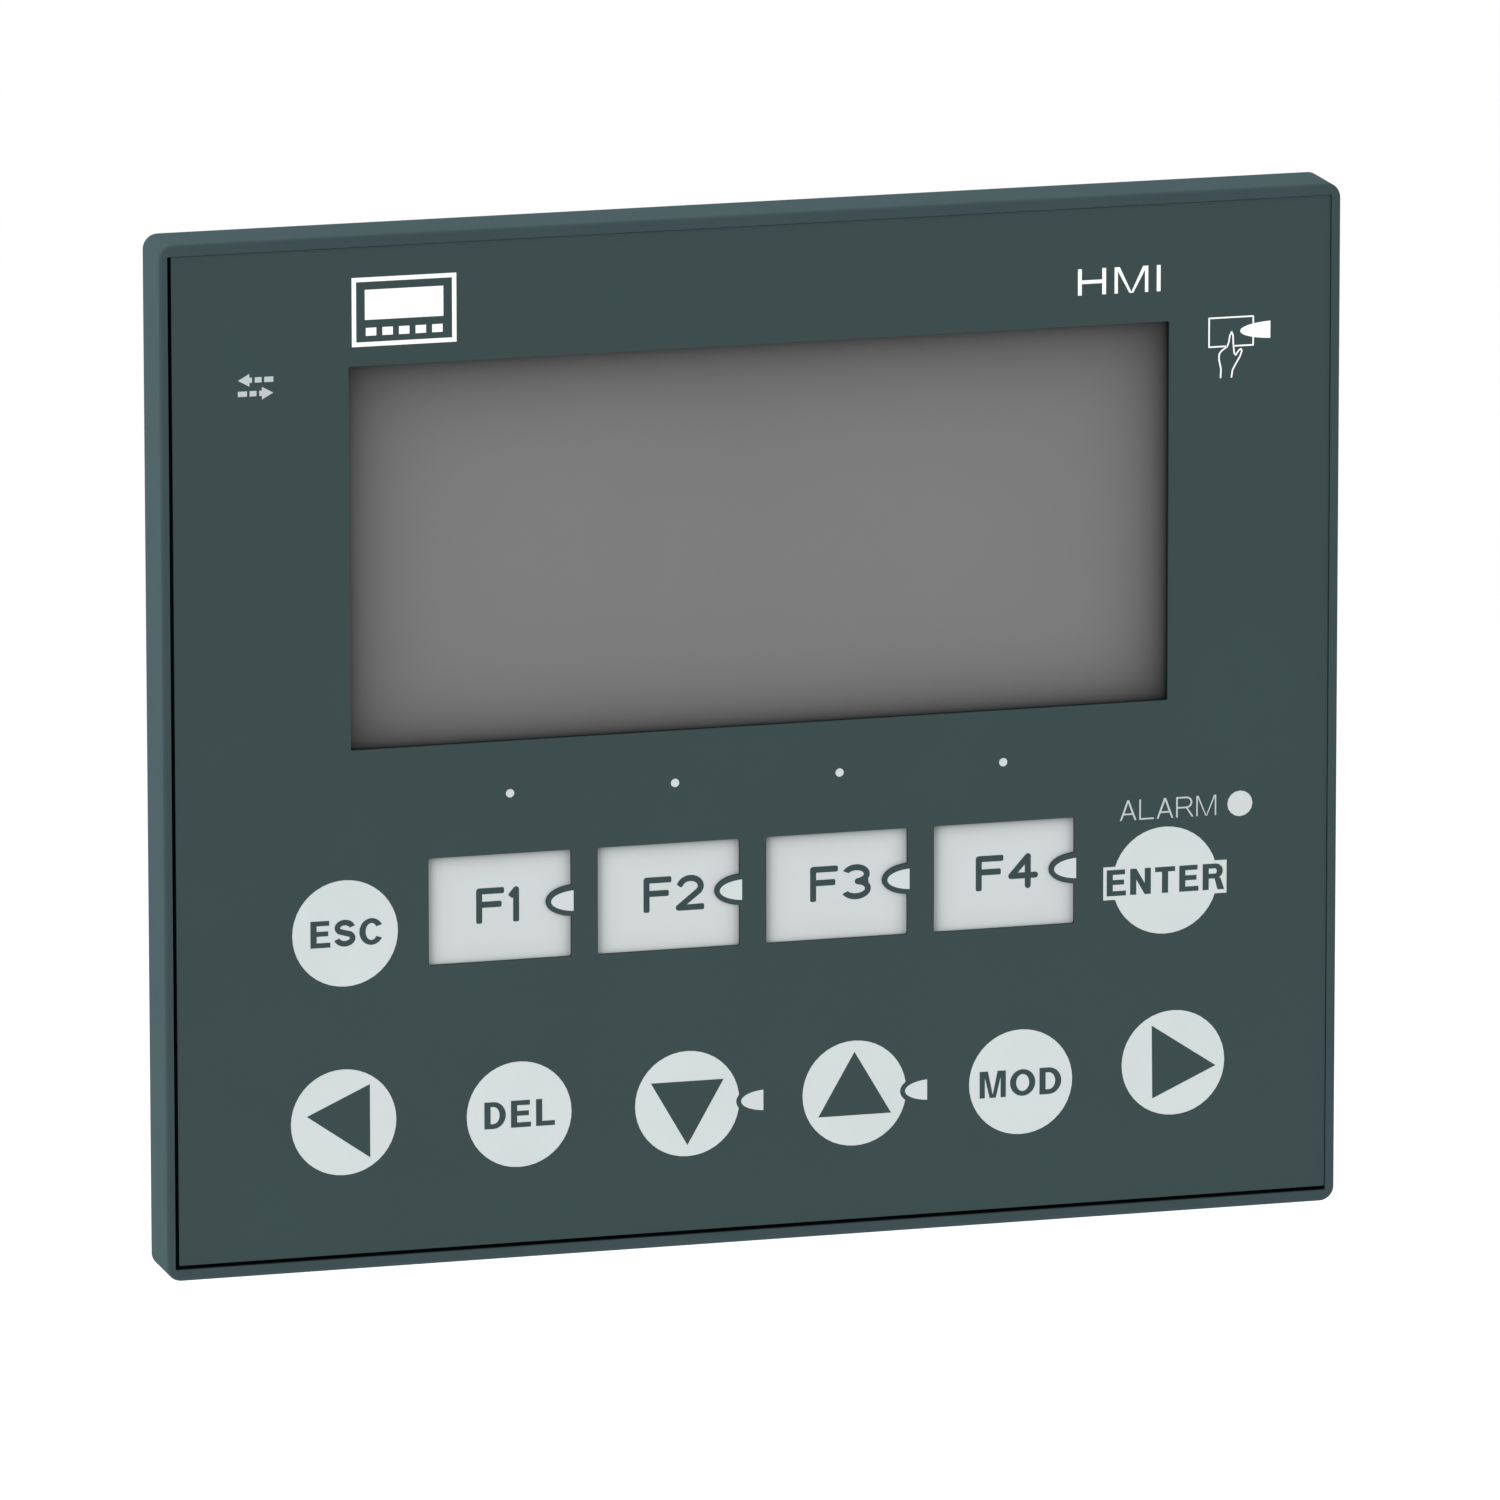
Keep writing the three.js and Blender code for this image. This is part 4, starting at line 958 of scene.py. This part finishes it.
def digit_three(x, low, top):
    """Two bowls drawn as one outline: their outer arcs, the lower cap, the inner arcs and a middle stub."""
    waist = (low + top) / 2 + 0.05
    high = (waist + top) / 2
    down = (waist + low) / 2
    tall = top - high
    deep = down - low
    half = LEGEND_HALF
    centre = x + 1.58
    upper = 1.27
    lower = 1.4
    outline = arc(centre, high, upper + half, tall + half, 158, -28, 16)
    outline += arc(centre, down, lower + half, deep + half, 32, -155, 16)
    outline += arc(centre, down, lower - half, deep - half, -155, 76, 16)
    outline += arc(x + 1.78, waist, half, half, 270, 90, 8)
    outline += arc(centre, high, upper - half, tall - half, -76, 158, 14)
    return [[list(reversed(outline))]]


def digit_four(x, low, top):
    """One outline round the foot, the stub, the top and the tip at the left, with the hole inside."""
    half = LEGEND_HALF
    stem = x + 2.38
    tip = x + 0.42
    bar = low + 1.16
    run = stem - tip
    rise = top - bar
    side = math.degrees(math.atan2(run, -rise))
    outline = arc(stem, low, half, half, 180, 360, 8) + [(stem + half, bar - half)]
    outline += arc(x + 3.24, bar, half, half, -90, 90, 8) + [(stem + half, bar + half)]
    outline += arc(stem, top, half, half, 0, side, 8)
    outline += arc(tip, bar, half, half, side, 270, 8) + [(stem - half, bar - half)]
    slant = half * math.hypot(run, rise) / rise
    hole = [
        (stem - half, bar + half),
        (stem - half, top - (slant + half) * rise / run),
        (stem + slant - (rise - half) * run / rise, bar + half),
    ]
    return [[outline, hole]]


def legend_function_keys():
    digits = (digit_one, digit_two, digit_three, digit_four)
    for name, digit in zip(FUNCTION_KEYS, digits):
        x, z = centre_of(name)
        base = z - LEGEND_DROP
        low = base + LEGEND_HALF
        top = base + LEGEND_HEIGHT - LEGEND_HALF
        shapes = letter_f(x + LETTER_START[name], base) + digit(x + DIGIT_START[name], low, top)
        add_print(name + "_legend", shapes, DARK_INK, name, function_y)


def legend_round_keys():
    for name, points in TRIANGLES.items():
        x, z = centre_of(name)
        loop = [(x + across, z + up) for across, up in points]
        add_print(name + "_legend", [[loop]], DARK_INK, name, overlay_y)
    for name, (word, (left, right, bottom, top), gap) in WORDS.items():
        x, z = centre_of(name)
        box = (x + left, x + right, z + bottom, z + top)
        shapes = word_shapes(word, box, WORD_STEM, WORD_BAR, gap)
        add_print(name + "_legend", shapes, DARK_INK, name, overlay_y)


# ---------------------------------------------------------------- marks on the foil

# The bullets beside six keys, from each key's middle to the bullet's flat end.
BULLETS = {
    "key_f1": (8.5, 0.28),
    "key_f2": (8.53, 0.28),
    "key_f3": (8.5, 0.28),
    "key_f4": (8.47, 0.28),
    "key_down": (8.9, -0.16),
    "key_up": (8.55, -0.16),
}
BULLET_LENGTH = 2.6
BULLET_HALF = 1.2
BULLET_CUT = 0.19

# Words on the foil: the box that each one fills, its upright and level strokes and its gap.
ALARM_BOX = (42.77, 54.17, -13.06, -10.71)
ALARM_PEN = (0.19, 0.18, 0.34)
CLASS_BOX = (37.6, 47.3, 47.7, 50.7)
CLASS_PEN = (0.45, 0.42, 1.0)

# The two arrows for data: which way each one points and where its tip is.
ARROWS = ((-1, -59.55, 43.32), (1, -55.53, 41.79))
ARROW_HEAD = 1.3
ARROW_WING = 0.72
ARROW_SHAFT = 0.3
ARROW_DASHES = ((0.62, 1.4), (1.7, 2.74))

# The touch pictogram: its line, its screen and the bullet's flat end, length and half height.
TOUCH_LINE = 0.175
TOUCH_BOX = (53.04, 58.24, 40.96, 44.26)
TOUCH_BULLET = (60.26, 42.64, 3.56, 1.0)

# The terminal's pictogram: its outline, then its line, screen and row of keys.
PICTOGRAM = (-46.5, -34.5, 46.4, 54.2)
PICTOGRAM_LINE = 0.5
PICTOGRAM_SCREEN = {"side": 1.5, "below": 3.0, "above": 1.4}
PICTOGRAM_KEYS = {"count": 5, "start": 1.6, "pitch": 1.9, "width": 1.2, "low": 1.2, "high": 2.1}


def bullet_loop(x, z, length, half):
    """A bullet with its flat end at x and its tip to the left: an ellipse cut short of its middle."""
    beyond = BULLET_CUT * length
    reach = length + beyond
    cut = math.degrees(math.acos(-beyond / reach))
    return arc(x + beyond, z, reach, half, cut, 360 - cut, 20)


def print_overlay():
    def mark(name, shapes, ink):
        add_print(name, shapes, ink, "terminal", overlay_y)

    mark("bullet_marks", bullet_shapes(), LIGHT_INK)
    mark("alarm_word", word_shapes("ALARM", ALARM_BOX, *ALARM_PEN), FAINT_INK)
    mark("signal_mark", signal_shapes(), FAINT_INK)
    mark("touch_mark", touch_shapes(), WHITE_INK)
    mark("terminal_mark", terminal_shapes(), WHITE_INK)
    mark("class_word", word_shapes("HMI", CLASS_BOX, *CLASS_PEN), WHITE_INK)


def bullet_shapes():
    shapes = []
    for name, (across, up) in BULLETS.items():
        x, z = centre_of(name)
        shapes.append([bullet_loop(x + across, z + up, BULLET_LENGTH, BULLET_HALF)])
    return shapes


def signal_shapes():
    """Two broken arrows, one each way, for data going out and coming in."""
    shapes = []
    half = ARROW_SHAFT
    for way, tip, z in ARROWS:
        base = tip - way * ARROW_HEAD
        stub = base - way * ARROW_SHAFT
        shapes.append([[
            (tip, z), (base, z - ARROW_WING), (base, z - half), (stub, z - half), (stub, z + half),
            (base, z + half), (base, z + ARROW_WING),
        ]])
        for near, far in ARROW_DASHES:
            left, right = sorted((base - way * near, base - way * far))
            shapes.append([box_loop(left, right, z - half, z + half)])
    return shapes


def touch_shapes():
    """A screen outline with a pointer bullet at its side and a hand touching it from below."""
    line = TOUCH_LINE
    left, right, bottom, top = TOUCH_BOX
    upper = [(55.1, bottom), (left, bottom), (left, top), (right, top), (right, 43.5)]
    lower = [(right, 41.8), (right, bottom), (56.05, bottom)]
    hand = [
        (54.42, 37.42), (54.46, 38.4), (54.22, 39.5), (54.24, 40.1), (54.5, 40.45), (55.18, 40.92),
        (55.36, 41.4), (55.5, 42.2), (55.7, 42.58), (55.86, 42.2), (55.9, 41.2), (56.02, 40.1),
        (56.2, 39.92), (56.55, 40.42), (56.8, 40.58), (56.92, 40.35), (56.68, 39.7), (56.2, 38.9),
        (55.82, 38.2), (55.7, 37.42),
    ]
    lines = [[stroke(path, line)] for path in (upper, lower, hand)]
    return lines + [[bullet_loop(*TOUCH_BULLET)]]


def terminal_shapes():
    """A plain pictogram of an operator terminal: a frame, a screen and a row of keys."""
    left, right, bottom, top = PICTOGRAM
    line = PICTOGRAM_LINE
    inner = box_loop(left + line, right - line, bottom + line, top - line)
    shapes = [[box_loop(left, right, bottom, top), list(reversed(inner))]]
    side = PICTOGRAM_SCREEN["side"]
    low = bottom + PICTOGRAM_SCREEN["below"]
    high = top - PICTOGRAM_SCREEN["above"]
    shapes.append([box_loop(left + side, right - side, low, high)])
    keys = PICTOGRAM_KEYS
    for i in range(keys["count"]):
        x = left + keys["start"] + i * keys["pitch"]
        shapes.append([box_loop(x, x + keys["width"], bottom + keys["low"], bottom + keys["high"])])
    return shapes


# ---------------------------------------------------------------- behind the door


def build_back():
    dressed("panel_gasket", RUBBER, edge=0.25, segments=3)
    dressed("rear_housing", HOUSING, edge=0.14)
    dressed("rear_label", LABEL, edge=0.06)
    for number in range(1, 5):
        dressed(f"housing_screw_{number}", STEEL, edge=0.06)
    for side in ("left", "right"):
        for level in ("lower", "upper"):
            dressed(f"panel_clip_{side}_{level}", STEEL, edge=0.08)
    dressed("serial_socket", TIN, edge=0.08)
    dressed("serial_contact_block", CONTACTS, edge=0.05)
    dressed("service_socket", CONTACTS, edge=0.06)
    for number in (1, 2):
        dressed(f"jack_screw_{number}", STEEL, edge=0.08)
    dressed("power_header", TERMINAL, edge=0.1)
    dressed("power_plug", TERMINAL, edge=0.12)
    for number in (1, 2, 3):
        dressed(f"clamp_screw_{number}", STEEL, edge=0.06)


INSIDE = {
    "dome_sheet": SILICONE,
    "keypad_board": BOARD,
    "lcd_frame": STEEL,
    "lcd_glass": DIFFUSER,
    "backlight": DIFFUSER,
    "lcd_board": BOARD,
    "main_board": BOARD,
    "processor_chip": CHIP,
    "memory_chip": CHIP,
    "display_controller_chip": CHIP,
    "power_converter": CHIP,
    "isolation_transformer": SLEEVE,
    "input_capacitor": SLEEVE,
    "output_capacitor": SLEEVE,
}


add_camera()
add_light()
add_floor()
build_front()
legend_function_keys()
legend_round_keys()
print_overlay()
build_back()
for inner_node, inner_material in INSIDE.items():
    repaint(inner_node, inner_material)
